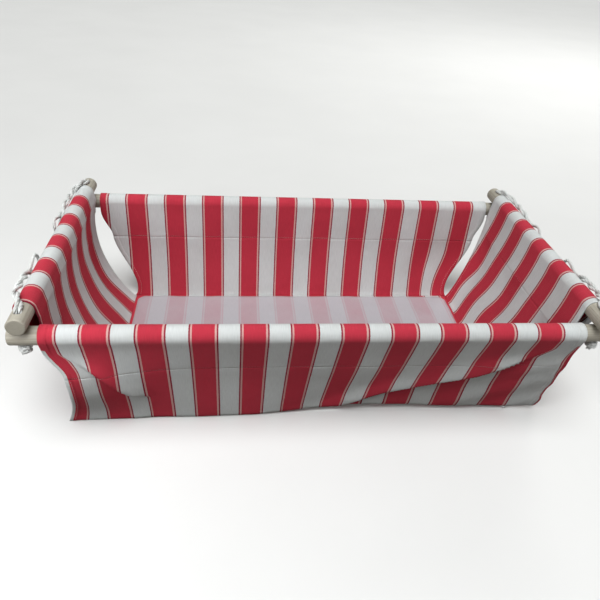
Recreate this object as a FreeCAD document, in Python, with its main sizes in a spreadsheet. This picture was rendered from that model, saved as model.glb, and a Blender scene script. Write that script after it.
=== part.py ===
import FreeCAD, Part
import Sketcher
import math
import os

# A baby hammock: four round wooden rails, crossed and drilled at the corners, carry cloth walls in
# stitched sleeves. The walls hang to a cloth base, and a doubled, twisted rope sling leaves each corner.
# X runs along the long rails, Y to the back and Z up. The origin is the middle of the rail frame, on the
# plane where the short rails lie on the long ones.

Vector = FreeCAD.Vector
UP = Vector(0, 0, 1)

# Driving sizes in millimetres; names that end in angle are in degrees.
SIZES = {
    "rail_diameter": 28,
    "rail_end_round": 2.5,
    "rail_overhang": 20,
    "rail_hole_diameter": 12,
    "long_cloth_width": 827,
    "end_cloth_width": 400,
    "long_corner_gap": 23.5,
    "end_corner_gap": 23,
    "long_draw_in": 57.5,
    "end_draw_in": 16,
    "front_foot_inset": 1.5,
    "end_foot_inset": 4,
    "crossing_gap": 0.3,
    "cloth_thickness": 1.6,
    "sleeve_clearance": 0.4,
    "sleeve_drop": 75,
    "seam_band": 12,
    "front_fold_depth": 11,
    "back_fold_depth": 6,
    "left_fold_depth": 9,
    "right_fold_depth": 8,
    "crease_width": 26,
    "base_drop": 210,
    "base_gap": 0.5,
    "liner_thickness": 1,
    "liner_inset": 6,
    "liner_corner": 12,
    "rope_diameter": 5.6,
    "rope_gap": 0.7,
    "rope_seat": 0.5,
    "rope_half_twist": 42,
    "sling_side_angle": 55,
    "sling_eye_angle": 95,
    "sling_eye_radius": 12,
    "sling_eye_neck": 26,
    "stem_clearance": 0.4,
    "knot_tail": 3,
}

# Sizes that follow the cloth: its width sets where the rails cross, and the base is drawn in from it.
TIED_SIZES = {
    "hole_spacing_long": "=long_cloth_width + 2 * long_corner_gap",
    "hole_spacing_short": "=end_cloth_width + 2 * end_corner_gap",
    "base_length": "=long_cloth_width - 2 * long_draw_in",
    "base_width": "=end_cloth_width - 2 * end_draw_in",
    "front_foot_width": "=long_cloth_width - 2 * front_foot_inset",
    "back_foot_width": "=base_length",
    "end_foot_width": "=base_width - 2 * end_foot_inset",
}

# Counts and shares, chosen by hand.
SLING_HALF_TWISTS = 3
STEPS_PER_HALF_TWIST = 4
EYE_POINTS = 5
EYE_SWEEP_SHARE = 0.64
LIFT_SHARE = 0.15
ROLL_ON_SHARE = 0.4
ROLL_OFF_SHARE = 0.62
KNOT_TURNS = 2
KNOT_BITE_SHARE = 0.3
KNOT_PITCH_SHARE = 0.92
GAP_STEP_SHARE = 0.2

# Depths of a wall's cross-sections as shares of the cloth from the sleeve seam to the foot, and how far
# each section's folds stand out as a share of the fold depth.
SECTION_SHARES = (0, 0.3, 0.62, 1)
FULLNESS_SHARES = (0, 0.75, 1, 0)

# Places of the two long creases of the front wall, as shares of half its width.
LEFT_CREASE_TOP_SHARE = 0.93
LEFT_CREASE_FOOT_SHARE = 0.58
RIGHT_CREASE_TOP_SHARE = 0.93
RIGHT_CREASE_FOOT_SHARE = 0.3
CREASE_CORNER_SHARES = (0.2, 0.04)
CREASE_BODY_SHARES = (0.25, 0.8, 1)

# Soft upright folds of the other walls: (place along half the width, how far it stands out).
BACK_FOLD_SHARES = ((-1, 0.1), (-0.72, 0.55), (-0.4, 0.2), (0, 0.5), (0.45, 0.15), (0.74, 0.9), (1, 0.3))
LEFT_FOLD_SHARES = ((-1, 0.3), (-0.65, 0.8), (-0.2, 0.3), (0.1, 0.6), (0.38, 0.1), (0.66, 1), (1, 0.35))
RIGHT_FOLD_SHARES = ((-1, 0.15), (-0.7, 0.85), (-0.34, 0.1), (0, 0.75), (0.36, 0.2), (0.68, 1), (1, 0.4))

doc = FreeCAD.newDocument("baby_hammock")
sheet = doc.addObject("Spreadsheet::Sheet", "sizes")
for row, (alias, value) in enumerate({**SIZES, **TIED_SIZES}.items(), start=1):
    sheet.set(f"A{row}", alias)
    sheet.set(f"B{row}", str(value))
    sheet.setAlias(f"B{row}", alias)
doc.recompute()


def size(alias):
    """Read one driving size from the sheet."""
    return float(sheet.get(alias))


def smooth(share):
    """Ease from 0 to 1 as the share goes from 0 to 1."""
    held = min(max(share, 0.0), 1.0)
    return held * held * (3 - 2 * held)


rail_radius = size("rail_diameter") / 2
rope_radius = size("rope_diameter") / 2
cloth = size("cloth_thickness")
long_axis_z = -(rail_radius + size("crossing_gap") / 2)
short_axis_z = -long_axis_z
base_z = long_axis_z - size("base_drop")
rail_top_z = short_axis_z + rail_radius
long_rail_y = size("hole_spacing_short") / 2
short_rail_x = size("hole_spacing_long") / 2


class Wall:
    """Place of one cloth wall: its rail, the way it faces and how it leans in to the base."""

    def __init__(self, name, turn, rail_centre, foot_distance):
        self.name = name
        self.drop = rail_centre.z - base_z
        lean = math.hypot(rail_centre.x, rail_centre.y) - foot_distance
        self.tilt = math.atan2(lean, self.drop)
        self.length = self.drop / math.cos(self.tilt) - cloth / 2 * math.tan(self.tilt)
        facing = FreeCAD.Rotation(UP, turn)
        leaning = FreeCAD.Rotation(Vector(1, 0, 0), -math.degrees(self.tilt))
        self.rail_placement = FreeCAD.Placement(rail_centre, facing)
        self.placement = FreeCAD.Placement(rail_centre, facing.multiply(leaning))


half_base_length = size("base_length") / 2
half_base_width = size("base_width") / 2
WALLS = {
    "front": Wall("front", 180, Vector(0, -long_rail_y, long_axis_z), half_base_width),
    "back": Wall("back", 0, Vector(0, long_rail_y, long_axis_z), half_base_width),
    "left": Wall("left", 90, Vector(-short_rail_x, 0, short_axis_z), half_base_length),
    "right": Wall("right", -90, Vector(short_rail_x, 0, short_axis_z), half_base_length),
}


def new_sketch(body, name, role):
    """Add a sketch on one of the body's own origin planes."""
    sketch = body.newObject("Sketcher::SketchObject", name)
    plane = next(item for item in body.Origin.OriginFeatures if item.Role == role)
    sketch.AttachmentSupport = [(plane, "")]
    sketch.MapMode = "FlatFace"
    return sketch


def bind(sketch, constraint, expression, name):
    """Add a driving constraint to a sketch and tie its value to the sheet."""
    index = sketch.addConstraint(constraint)
    sketch.renameConstraint(index, name)
    sketch.setExpression(f"Constraints.{name}", expression)


def new_pad(body, sketch, name, length):
    """Pad a sketch evenly to both sides of its plane, to a length from the sheet."""
    pad = body.newObject("PartDesign::Pad", name)
    pad.Profile = sketch
    pad.SideType = "Symmetric"
    pad.setExpression("Length", length)
    doc.recompute()
    return pad


def add_circle(sketch, expression, name):
    """Add a circle at the sketch's origin with a diameter from the sheet."""
    circle = sketch.addGeometry(Part.Circle(Vector(), UP, rail_radius))
    bind(sketch, Sketcher.Constraint("Diameter", circle, 2 * rail_radius), expression, name)
    return circle


def make_rail(wall, spacing):
    """A round rail with eased ends and an upright rope hole near each end."""
    label = f"{wall.name}_rail"
    body = doc.addObject("PartDesign::Body", label)
    section = new_sketch(body, f"{label}_section", "YZ_Plane")
    circle = add_circle(section, "sizes.rail_diameter", "across")
    section.addConstraint(Sketcher.Constraint("Coincident", circle, 3, -1, 1))
    pad = new_pad(body, section, f"{label}_pad", f"sizes.{spacing} + 2 * sizes.rail_overhang")

    rims = [f"Edge{i}" for i, edge in enumerate(pad.Shape.Edges, start=1) if edge.isClosed()]
    rounded = body.newObject("PartDesign::Fillet", f"{label}_ends")
    rounded.Base = (pad, rims)
    rounded.setExpression("Radius", "sizes.rail_end_round")
    doc.recompute()

    bores = new_sketch(body, f"{label}_bores", "XY_Plane")
    for side, name in ((-1, "low"), (1, "high")):
        bore = add_circle(bores, "sizes.rail_hole_diameter", f"{name}_across")
        bores.moveGeometry(bore, 3, Vector(side * size(spacing) / 2, 0, 0))
        bores.addConstraint(Sketcher.Constraint("PointOnObject", bore, 3, -1))
        reach = Sketcher.Constraint("DistanceX", -1, 1, bore, 3, side * size(spacing) / 2)
        bind(bores, reach, f"{side} * sizes.{spacing} / 2", f"{name}_place")
    pocket = body.newObject("PartDesign::Pocket", f"{label}_holes")
    pocket.Profile = bores
    pocket.SideType = "Symmetric"
    pocket.Type = "ThroughAll"
    body.Placement = wall.rail_placement
    doc.recompute()
    if not pocket.Shape.Volume < rounded.Shape.Volume:
        raise ValueError(f"{label}: the rope holes cut nothing")
    return body


def add_teardrop(sketch, radius, drop, foot, expressions, prefix):
    """Draw a circle's top with tangent sides that run down to a foot, or to a point where the foot is 0."""
    reach = math.hypot(foot / 2, drop)
    start = math.acos(radius / reach) - math.atan2(drop, foot / 2)
    touch = Vector(radius * math.cos(start), radius * math.sin(start), 0)
    toe = Vector(foot / 2, -drop, 0)
    over = Part.ArcOfCircle(Part.Circle(Vector(), UP, radius), start, math.pi - start)
    arc = sketch.addGeometry(over)
    right = sketch.addGeometry(Part.LineSegment(touch, toe))
    left = sketch.addGeometry(Part.LineSegment(Vector(-toe.x, toe.y, 0), Vector(-touch.x, touch.y, 0)))
    sketch.addConstraint(Sketcher.Constraint("Coincident", arc, 3, -1, 1))
    sketch.addConstraint(Sketcher.Constraint("Tangent", arc, 1, right, 1))
    sketch.addConstraint(Sketcher.Constraint("Tangent", arc, 2, left, 2))
    bind(sketch, Sketcher.Constraint("Radius", arc, radius), expressions["radius"], f"{prefix}_radius")
    fall = Sketcher.Constraint("DistanceY", right, 2, -1, 1, drop)
    bind(sketch, fall, expressions["drop"], f"{prefix}_drop")
    if foot > 0:
        sole = sketch.addGeometry(Part.LineSegment(toe, Vector(-toe.x, toe.y, 0)))
        sketch.addConstraint(Sketcher.Constraint("Coincident", right, 2, sole, 1))
        sketch.addConstraint(Sketcher.Constraint("Coincident", sole, 2, left, 1))
        sketch.addConstraint(Sketcher.Constraint("Symmetric", right, 2, left, 1, -2))
        width = Sketcher.Constraint("DistanceX", left, 1, right, 2, foot)
        bind(sketch, width, expressions["foot"], f"{prefix}_foot")
    else:
        sketch.addConstraint(Sketcher.Constraint("Coincident", right, 2, left, 1))
        sketch.addConstraint(Sketcher.Constraint("PointOnObject", right, 2, -2))


def make_sleeve(wall, width):
    """The cloth turned over the rail: a snug round top whose two layers meet in a stitched band."""
    label = f"{wall.name}_sleeve"
    body = doc.addObject("PartDesign::Body", label)
    section = new_sketch(body, f"{label}_section", "YZ_Plane")
    inner_radius = rail_radius + size("sleeve_clearance")
    inside = "sizes.rail_diameter / 2 + sizes.sleeve_clearance"
    outer = {
        "radius": f"{inside} + sizes.cloth_thickness",
        "drop": "sizes.sleeve_drop",
        "foot": "2 * sizes.cloth_thickness",
    }
    inner = {"radius": inside, "drop": "sizes.sleeve_drop - sizes.seam_band"}
    add_teardrop(section, inner_radius + cloth, size("sleeve_drop"), 2 * cloth, outer, "outer")
    add_teardrop(section, inner_radius, size("sleeve_drop") - size("seam_band"), 0, inner, "inner")
    new_pad(body, section, f"{label}_pad", f"sizes.{width}")
    body.Placement = wall.placement
    return body


def fold_line(points, z):
    """Join every second point by an arc through the one between, or a line where they lie straight."""
    edges = []
    for first, middle, last in zip(points[0:-2:2], points[1:-1:2], points[2::2]):
        start, crown, end = (Vector(x, y, z) for x, y in (first, middle, last))
        bend = (crown - start).cross(end - start).Length
        straight = bend <= cloth * cloth
        curve = Part.LineSegment(start, end) if straight else Part.Arc(start, crown, end)
        edges.append(curve.toShape())
    return edges


def cloth_section(points, depth):
    """Closed outline of a wall at one depth: its folded outer line, its inner line and two cut edges."""
    outer = [(x, y + cloth / 2) for x, y in points]
    inner = [(x, y - cloth / 2) for x, y in reversed(points)]
    edges = fold_line(outer, -depth)
    edges.append(Part.LineSegment(Vector(*outer[-1], -depth), Vector(*inner[0], -depth)).toShape())
    edges += fold_line(inner, -depth)
    edges.append(Part.LineSegment(Vector(*inner[-1], -depth), Vector(*outer[0], -depth)).toShape())
    return Part.Wire(edges)


def creased_points(half_width, share, stand):
    """Points of the front wall at one depth: a full middle between two slanting creases."""
    half_crease = size("crease_width") / 2
    rims = {}
    ends = {
        1: (LEFT_CREASE_TOP_SHARE, LEFT_CREASE_FOOT_SHARE),
        -1: (RIGHT_CREASE_TOP_SHARE, RIGHT_CREASE_FOOT_SHARE),
    }
    for side, (top, foot) in ends.items():
        crease = side * half_width * (top + (foot - top) * share)
        outside = crease + side * half_crease
        inside = crease - side * half_crease
        edge, dip = (stand * part for part in CREASE_CORNER_SHARES)
        low, rise, high = (stand * part for part in CREASE_BODY_SHARES)
        between = (side * half_width + outside) / 2
        rims[side] = [(side * half_width, edge), (between, dip), (outside, low), (crease, rise), (inside, high)]
    middle = (rims[1][-1][0] + rims[-1][-1][0]) / 2
    return rims[-1] + [(middle, stand * CREASE_BODY_SHARES[1])] + rims[1][::-1]


def make_panel(wall, width, foot, depth, folds=None):
    """One cloth wall from its sleeve's seam to the base, lofted through sections that carry its folds."""
    sections = []
    seam = size("sleeve_drop")
    for share, fullness in zip(SECTION_SHARES, FULLNESS_SHARES):
        half_width = (size(width) + (size(foot) - size(width)) * share) / 2
        stand = size(depth) * fullness
        if folds:
            points = [(half_width * place, stand * height) for place, height in folds]
        else:
            points = creased_points(half_width, share, stand)
        sections.append(cloth_section(points, seam + (wall.length - seam) * share))
    panel = doc.addObject("Part::Feature", f"{wall.name}_panel")
    panel.Shape = Part.makeLoft(sections, True, True)
    panel.Placement = wall.placement
    return panel


def make_sheet(label, length, width, thickness, corner, lift):
    """A flat rectangle of cloth with its sides and thickness tied to the sheet."""
    body = doc.addObject("PartDesign::Body", label)
    outline = new_sketch(body, f"{label}_outline", "XY_Plane")
    corners = [Vector(-1, -1, 0), Vector(1, -1, 0), Vector(1, 1, 0), Vector(-1, 1, 0)]
    ends = [Vector(spot.x * half_base_length, spot.y * half_base_width, 0) for spot in corners]
    sides = [outline.addGeometry(Part.LineSegment(ends[i - 1], ends[i])) for i in range(len(ends))]
    for i, side in enumerate(sides):
        outline.addConstraint(Sketcher.Constraint("Coincident", sides[i - 1], 2, side, 1))
        outline.addConstraint(Sketcher.Constraint("Horizontal" if i % 2 else "Vertical", side))
    outline.addConstraint(Sketcher.Constraint("Symmetric", sides[0], 2, sides[2], 2, -1, 1))
    run = Sketcher.Constraint("DistanceX", sides[1], 1, sides[1], 2, 2 * half_base_length)
    bind(outline, run, length, "long_side")
    rise = Sketcher.Constraint("DistanceY", sides[2], 1, sides[2], 2, 2 * half_base_width)
    bind(outline, rise, width, "short_side")
    pad = new_pad(body, outline, f"{label}_pad", thickness)
    if corner:
        uprights = [f"Edge{i}" for i, edge in enumerate(pad.Shape.Edges, start=1)
                    if edge.tangentAt(edge.FirstParameter).isParallel(UP, Part.Precision.angular())]
        rounded = body.newObject("PartDesign::Fillet", f"{label}_corners")
        rounded.Base = (pad, uprights)
        rounded.setExpression("Radius", corner)
    body.Placement = FreeCAD.Placement(Vector(0, 0, lift), FreeCAD.Rotation())
    return body


def biarc(start, start_way, end, end_way):
    """Two arcs that join two points with the given directions."""
    span = end - start
    ways = start_way + end_way
    turn = 2 * (1 - start_way.dot(end_way))
    along = span.dot(ways)
    if turn < Part.Precision.confusion():
        reach = span.dot(span) / (4 * span.dot(end_way))
    else:
        reach = (math.sqrt(along * along + turn * span.dot(span)) - along) / turn
    apexes = (start + start_way * reach, end - end_way * reach)
    joint = (apexes[0] + apexes[1]) * 0.5
    edges = []
    for first, apex, last in ((start, apexes[0], joint), (joint, apexes[1], end)):
        middle = (first + last) * 0.5
        rise = apex - middle
        half_chord = (last - first).Length / 2
        sagitta = half_chord * math.tan(math.atan2(rise.Length, half_chord) / 2)
        edges.append(Part.Arc(first, middle + rise.normalize() * sagitta, last).toShape())
    return edges


class SlingRoute:
    """Middle line of a doubled rope that leaves its hole, twists along the rail and ends in an eye."""

    def __init__(self, outward, inward_y):
        self.outward = outward
        self.inward_y = inward_y
        self.start = size("rope_diameter") + 2 * size("rope_seat")
        self.pair = size("rope_half_twist") * SLING_HALF_TWISTS
        self.offset = rope_radius + size("rope_gap") / 2
        self.small = self.offset * GAP_STEP_SHARE
        self.rise = rope_radius + size("rope_seat")
        sleeve_radius = rail_radius + size("sleeve_clearance") + cloth
        self.low_radius = rail_radius + self.rise
        self.high_radius = sleeve_radius + size("rope_seat") + rope_radius + self.offset

    def angle(self, run):
        """How far the pair has rolled from the rail's top to its outer side at a run along the rail."""
        share = run / self.pair
        side = math.radians(size("sling_side_angle"))
        eye = math.radians(size("sling_eye_angle"))
        on = smooth(share / ROLL_ON_SHARE)
        off = smooth((share - ROLL_OFF_SHARE) / (1 - ROLL_OFF_SHARE))
        return side * on + (eye - side) * off

    def middle(self, run):
        """Middle of the pair at a run along the rail."""
        angle = self.angle(run)
        lift = smooth(run / self.pair / LIFT_SHARE)
        radius = self.low_radius + (self.high_radius - self.low_radius) * lift
        away = Vector(self.outward * math.sin(angle), 0, math.cos(angle))
        along = Vector(0, self.inward_y * (self.start + run), 0)
        return along + away * radius - UP * self.low_radius

    def axes(self, run):
        """Middle of the pair, with the ways round the rail and away from it, square to the pair."""
        ahead = (self.middle(run + self.small) - self.middle(run - self.small)).normalize()
        angle = self.angle(run)
        round_rail = Vector(self.outward * math.cos(angle), 0, -math.sin(angle))
        around = (round_rail - ahead * round_rail.dot(ahead)).normalize()
        away = ahead.cross(around) * (-self.outward * self.inward_y)
        return self.middle(run), around, away

    def leg(self, run, sign):
        """Middle of one leg of the pair, which turns half round the other in each half twist."""
        middle, around, away = self.axes(run)
        turn = math.pi * run / size("rope_half_twist")
        return middle + (around * math.cos(turn) + away * math.sin(turn)) * (sign * self.offset)

    def leg_stops(self, sign):
        """Points and directions along one leg, from the hole to the eye."""
        steps = SLING_HALF_TWISTS * STEPS_PER_HALF_TWIST
        stops = []
        for step in range(steps + 1):
            run = self.pair * step / steps
            way = self.leg(run + self.small, sign) - self.leg(run - self.small, sign)
            stops.append((self.leg(run, sign), way.normalize()))
        return stops

    def eye_stops(self):
        """Points and directions round the eye, from the end of one leg to the start of the other."""
        middle, around, _ = self.axes(self.pair)
        ahead = Vector(0, self.inward_y, 0)
        side = (-1) ** SLING_HALF_TWISTS
        centre = middle + ahead * size("sling_eye_neck")
        radius = size("sling_eye_radius")
        stops = []
        for step in range(EYE_POINTS):
            angle = math.pi * EYE_SWEEP_SHARE * (1 - 2 * step / (EYE_POINTS - 1))
            across = around * (side * math.sin(angle))
            way = ahead * math.sin(angle) - around * (side * math.cos(angle))
            stops.append((centre + (ahead * math.cos(angle) + across) * radius, way))
        return stops

    def wire(self):
        """The whole rope as one chain of arcs: out along one leg, round the eye and back along the other."""
        back = [(point, -way) for point, way in reversed(self.leg_stops(-1))]
        stops = self.leg_stops(1) + self.eye_stops() + back
        edges = []
        for (start, start_way), (end, end_way) in zip(stops[:-1], stops[1:]):
            edges += biarc(start, start_way, end, end_way)
        return Part.Wire(edges), stops[0][1]


def least_self_gap(wire):
    """Least room between stretches of the rope that lie further apart along it than four diameters."""
    spacing = size("rope_diameter") * GAP_STEP_SHARE
    points = wire.discretize(Distance=spacing)
    skip = int(4 / GAP_STEP_SHARE)
    nearest = min((points[i] - points[j]).Length
                  for i in range(len(points)) for j in range(i + skip, len(points)))
    return nearest - size("rope_diameter")


def make_sling(label, outward, inward_y):
    """A hanging sling: one unbroken rope, doubled and twisted, with an eye at its end."""
    route = SlingRoute(outward, inward_y)
    wire, way = route.wire()
    ring = Part.Wire([Part.Circle(wire.Edges[0].Vertexes[0].Point, way, rope_radius).toShape()])
    tube = wire.makePipeShell([ring], True, False)
    plain_volume = math.pi * rope_radius ** 2 * wire.Length
    radii = [edge.Curve.Radius for edge in wire.Edges]
    print(f"{label}: rope {wire.Length:.1f} mm, volume ratio {tube.Volume / plain_volume:.4f}, "
          f"least radius {min(radii):.1f} mm, least self gap {least_self_gap(wire):.2f} mm")
    sling = doc.addObject("Part::Feature", label)
    sling.Shape = tube
    hinge = Vector(outward * short_rail_x, -inward_y * long_rail_y, rail_top_z + route.rise)
    sling.Placement = FreeCAD.Placement(hinge, FreeCAD.Rotation())
    return sling


def make_knot(label, outward, inward_y):
    """The sling's two ends: a stem through both rails, bent over at the top, with a stopper knot below."""
    stem_radius = "(sizes.rail_hole_diameter / 2 - sizes.stem_clearance)"
    seat = "(2 * sizes.rail_diameter + sizes.crossing_gap)"
    pitch = f"{KNOT_PITCH_SHARE} * sizes.rope_diameter"
    pieces = []
    stem = doc.addObject("Part::Cylinder", f"{label}_stem")
    below = f"(sizes.rope_seat + {KNOT_TURNS} * {pitch} + sizes.knot_tail)"
    stem.setExpression("Radius", stem_radius)
    stem.setExpression("Height", f"{seat} + {below}")
    stem.setExpression("Placement.Base.z", f"-{seat} / 2 - {below}")
    pieces.append(stem)
    dome = doc.addObject("Part::Sphere", f"{label}_bend")
    dome.setExpression("Radius", "sizes.rope_diameter")
    dome.setExpression("Placement.Base.z", f"{seat} / 2 + sizes.rope_diameter / 2 + sizes.rope_seat")
    pieces.append(dome)
    for turn in range(KNOT_TURNS):
        wrap = doc.addObject("Part::Torus", f"{label}_turn_{turn + 1}")
        wrap.setExpression("Radius1", f"{stem_radius} + {KNOT_BITE_SHARE} * sizes.rope_diameter")
        wrap.setExpression("Radius2", "sizes.rope_diameter / 2")
        drop = f"sizes.rope_seat + sizes.rope_diameter / 2 + {turn} * {pitch}"
        wrap.setExpression("Placement.Base.z", f"-{seat} / 2 - ({drop})")
        pieces.append(wrap)
    knot = doc.addObject("Part::MultiFuse", label)
    knot.Shapes = pieces
    spot = Vector(outward * short_rail_x, -inward_y * long_rail_y, 0)
    knot.Placement = FreeCAD.Placement(spot, FreeCAD.Rotation())
    return knot


def make_base():
    """The cloth base, which clears the four walls' feet, and the thin sheet that lies on it."""
    end_tilt = WALLS["left"].tilt
    side_tilt = WALLS["front"].tilt
    length = f"sizes.base_length - 2 * sizes.base_gap - sizes.cloth_thickness / {math.cos(end_tilt)}"
    width = f"sizes.base_width - 2 * sizes.base_gap - sizes.cloth_thickness / {math.cos(side_tilt)}"
    panel = make_sheet("base_panel", length, width, "sizes.cloth_thickness", None, base_z + cloth / 2)
    inset = "2 * sizes.liner_inset"
    lift = base_z + cloth + size("liner_thickness") / 2
    liner = make_sheet("base_liner", f"{length} - {inset}", f"{width} - {inset}", "sizes.liner_thickness",
                       "sizes.liner_corner", lift)
    return [panel, liner]


def make_corners():
    """A sling and its knot at each of the four corners."""
    pieces = []
    for side, outward in (("left", -1), ("right", 1)):
        for end, inward_y in (("front", 1), ("back", -1)):
            pieces.append(make_sling(f"{end}_{side}_sling", outward, inward_y))
            pieces.append(make_knot(f"{end}_{side}_knot", outward, inward_y))
    return pieces


parts = [make_rail(WALLS[name], "hole_spacing_long") for name in ("front", "back")]
parts += [make_rail(WALLS[name], "hole_spacing_short") for name in ("left", "right")]
parts += [make_sleeve(WALLS[name], "long_cloth_width") for name in ("front", "back")]
parts += [make_sleeve(WALLS[name], "end_cloth_width") for name in ("left", "right")]
parts += [
    make_panel(WALLS["front"], "long_cloth_width", "front_foot_width", "front_fold_depth"),
    make_panel(WALLS["back"], "long_cloth_width", "back_foot_width", "back_fold_depth", BACK_FOLD_SHARES),
    make_panel(WALLS["left"], "end_cloth_width", "end_foot_width", "left_fold_depth", LEFT_FOLD_SHARES),
    make_panel(WALLS["right"], "end_cloth_width", "end_foot_width", "right_fold_depth", RIGHT_FOLD_SHARES),
]
parts += make_base()
parts += make_corners()
doc.recompute()

for item in doc.Objects:
    if "Invalid" in item.State or "Error" in item.State:
        raise ValueError(f"{item.Label} failed: {item.State}")
for part in parts:
    if part.Shape.isNull() or not part.Shape.isValid() or len(part.Shape.Solids) != 1:
        raise ValueError(f"{part.Label} is not one sound solid")

os.makedirs("parts", exist_ok=True)
for part in parts:
    part.Shape.exportStep(f"parts/{part.Label}.step")
print(f"{len(parts)} pieces written")
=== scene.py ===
"""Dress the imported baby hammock: wooden rails, striped cloth cradle, liner and twisted rope slings."""
import logging
import math
from abc import ABC, abstractmethod
from dataclasses import dataclass
from enum import Enum
from typing import Any, Callable, Sequence

import bpy
import numpy as np
from mathutils import Matrix, Vector, noise


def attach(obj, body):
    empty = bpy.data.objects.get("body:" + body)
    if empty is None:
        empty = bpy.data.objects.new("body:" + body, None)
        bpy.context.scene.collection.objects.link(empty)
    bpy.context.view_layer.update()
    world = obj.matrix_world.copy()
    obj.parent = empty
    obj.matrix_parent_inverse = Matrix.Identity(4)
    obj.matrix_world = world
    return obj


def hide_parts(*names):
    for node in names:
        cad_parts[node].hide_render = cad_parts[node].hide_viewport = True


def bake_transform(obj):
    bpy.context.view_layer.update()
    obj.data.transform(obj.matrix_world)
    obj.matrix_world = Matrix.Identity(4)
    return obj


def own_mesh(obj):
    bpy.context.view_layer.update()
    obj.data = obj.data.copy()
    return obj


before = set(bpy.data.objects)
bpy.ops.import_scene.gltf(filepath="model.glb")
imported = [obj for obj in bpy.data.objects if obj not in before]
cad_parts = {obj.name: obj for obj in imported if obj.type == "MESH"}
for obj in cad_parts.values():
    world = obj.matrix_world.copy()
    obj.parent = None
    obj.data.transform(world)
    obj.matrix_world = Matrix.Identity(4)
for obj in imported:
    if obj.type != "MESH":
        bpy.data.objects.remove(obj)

Array = np.ndarray
Colour = tuple[float, float, float]
Socket = bpy.types.NodeSocket
log = logging.getLogger("hammock")
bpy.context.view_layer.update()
UP = np.array((0.0, 0.0, 1.0))

# Lengths that several pieces share, in metres
LONG_RAIL_Y = 0.223
SHORT_RAIL_X = 0.437
RAIL_AXIS_Z = 0.01415
CLOTH_THICKNESS = 0.0014
STRIPE_REPEAT = 0.078
STITCH_LENGTH = 0.0042
STITCH_RADIUS = 0.00022


def ease(value: Array | float) -> Array:
    """Go smoothly from 0 to 1 as the value does, and hold outside."""
    held = np.clip(value, 0.0, 1.0)
    return held * held * (3 - 2 * held)


def rise(value: Array | float, start: float, end: float) -> Array:
    """Go smoothly from 0 at the start value to 1 at the end value, and hold outside."""
    return ease((value - start) / (end - start))


def hill(value: Array | float, middle: float, width: float) -> Array:
    """A soft hill of height 1 round a middle value."""
    return np.exp(-(((np.asarray(value, float) - middle) / width) ** 2))


def soft_noise(across: Array, down: Array, size: float, seed: float) -> Array:
    """Smooth noise between about -1 and 1 over a sheet.

    Args:
        across: Places along the sheet in metres.
        down: Places down the sheet in metres.
        size: How large a swell is, in metres.
        seed: Which of the many swells to take.

    Returns:
        One value for each place.
    """
    places = zip(np.ravel(across), np.ravel(down))
    flat = [noise.noise(Vector((x / size, y / size, seed))) for x, y in places]
    return np.array(flat).reshape(np.shape(across))


def slack_noise(across: Array, down: Array, size: float, seed: float) -> Array:
    """The same soft noise, moved to lie between about 0 and 1."""
    return 0.5 + 0.5 * soft_noise(across, down, size, seed)


def unit(vector: Array) -> Array:
    """The vector at length one."""
    return vector / np.linalg.norm(vector, axis=-1, keepdims=True)


def run_along(points: Array) -> Array:
    """The distance along a line at each of its points."""
    return np.concatenate(([0.0], np.cumsum(np.linalg.norm(np.diff(points, axis=0), axis=1))))


def put_in_scene(name: str, data: bpy.types.ID) -> bpy.types.Object:
    """Make an object from its data and link it to the scene.

    Args:
        name: The object's name.
        data: A mesh, light or camera.

    Returns:
        The object.
    """
    made = bpy.data.objects.new(name, data)
    bpy.context.scene.collection.objects.link(made)
    return made


def mesh_piece(
    name: str, points: Array, faces: Sequence[Sequence[int]], coords: Array | None = None
) -> bpy.types.Object:
    """Make a smooth mesh object.

    Args:
        name: The piece's name.
        points: Its points in metres, one row each.
        faces: Its faces as lists of point numbers.
        coords: Cloth coordinates of each point, in metres, or none.

    Returns:
        The new object, linked to the scene.
    """
    mesh = bpy.data.meshes.new(name)
    mesh.from_pydata(np.reshape(points, (-1, 3)).tolist(), [], [list(face) for face in faces])
    mesh.polygons.foreach_set("use_smooth", [True] * len(mesh.polygons))
    if coords is not None:
        layer = mesh.uv_layers.new(name="cloth")
        corner = np.empty(len(mesh.loops), dtype=np.int32)
        mesh.loops.foreach_get("vertex_index", corner)
        layer.data.foreach_set("uv", np.reshape(coords, (-1, 2))[corner].ravel())
    mesh.update()
    return put_in_scene(name, mesh)


def grid_faces(rows: int, columns: int, flip: bool = False) -> list[tuple[int, int, int, int]]:
    """Four-sided faces of a grid whose points are stored row by row.

    Args:
        rows: Rows of points.
        columns: Points in a row.
        flip: Turn the faces over.

    Returns:
        The faces.
    """
    faces = []
    for row in range(rows - 1):
        for column in range(columns - 1):
            corner = row * columns + column
            face = (corner, corner + 1, corner + columns + 1, corner + columns)
            faces.append(face[::-1] if flip else face)
    return faces


def tube_faces(start: int, rings: int, count: int) -> list[tuple[int, ...]]:
    """Faces of a tube with closed ends, whose points are stored ring by ring.

    Args:
        start: The number of its first point.
        rings: How many rings it has.
        count: Points in a ring.

    Returns:
        The faces.
    """
    faces = []
    for ring in range(rings - 1):
        low = start + ring * count
        for point in range(count):
            here = low + point
            beside = low + (point + 1) % count
            faces.append((here, beside, beside + count, here + count))
    end = start + (rings - 1) * count
    faces.append(tuple(reversed(range(start, start + count))))
    faces.append(tuple(range(end, end + count)))
    return faces


def add_thickness(piece: bpy.types.Object, thickness: float) -> bpy.types.Modifier:
    """Give a sheet its thickness, half of it on each side.

    Args:
        piece: The sheet.
        thickness: How thick it becomes.

    Returns:
        The modifier.
    """
    solid = piece.modifiers.new("thickness", "SOLIDIFY")
    solid.thickness = thickness
    solid.offset = 0.0
    return solid


# Shader building

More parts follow.
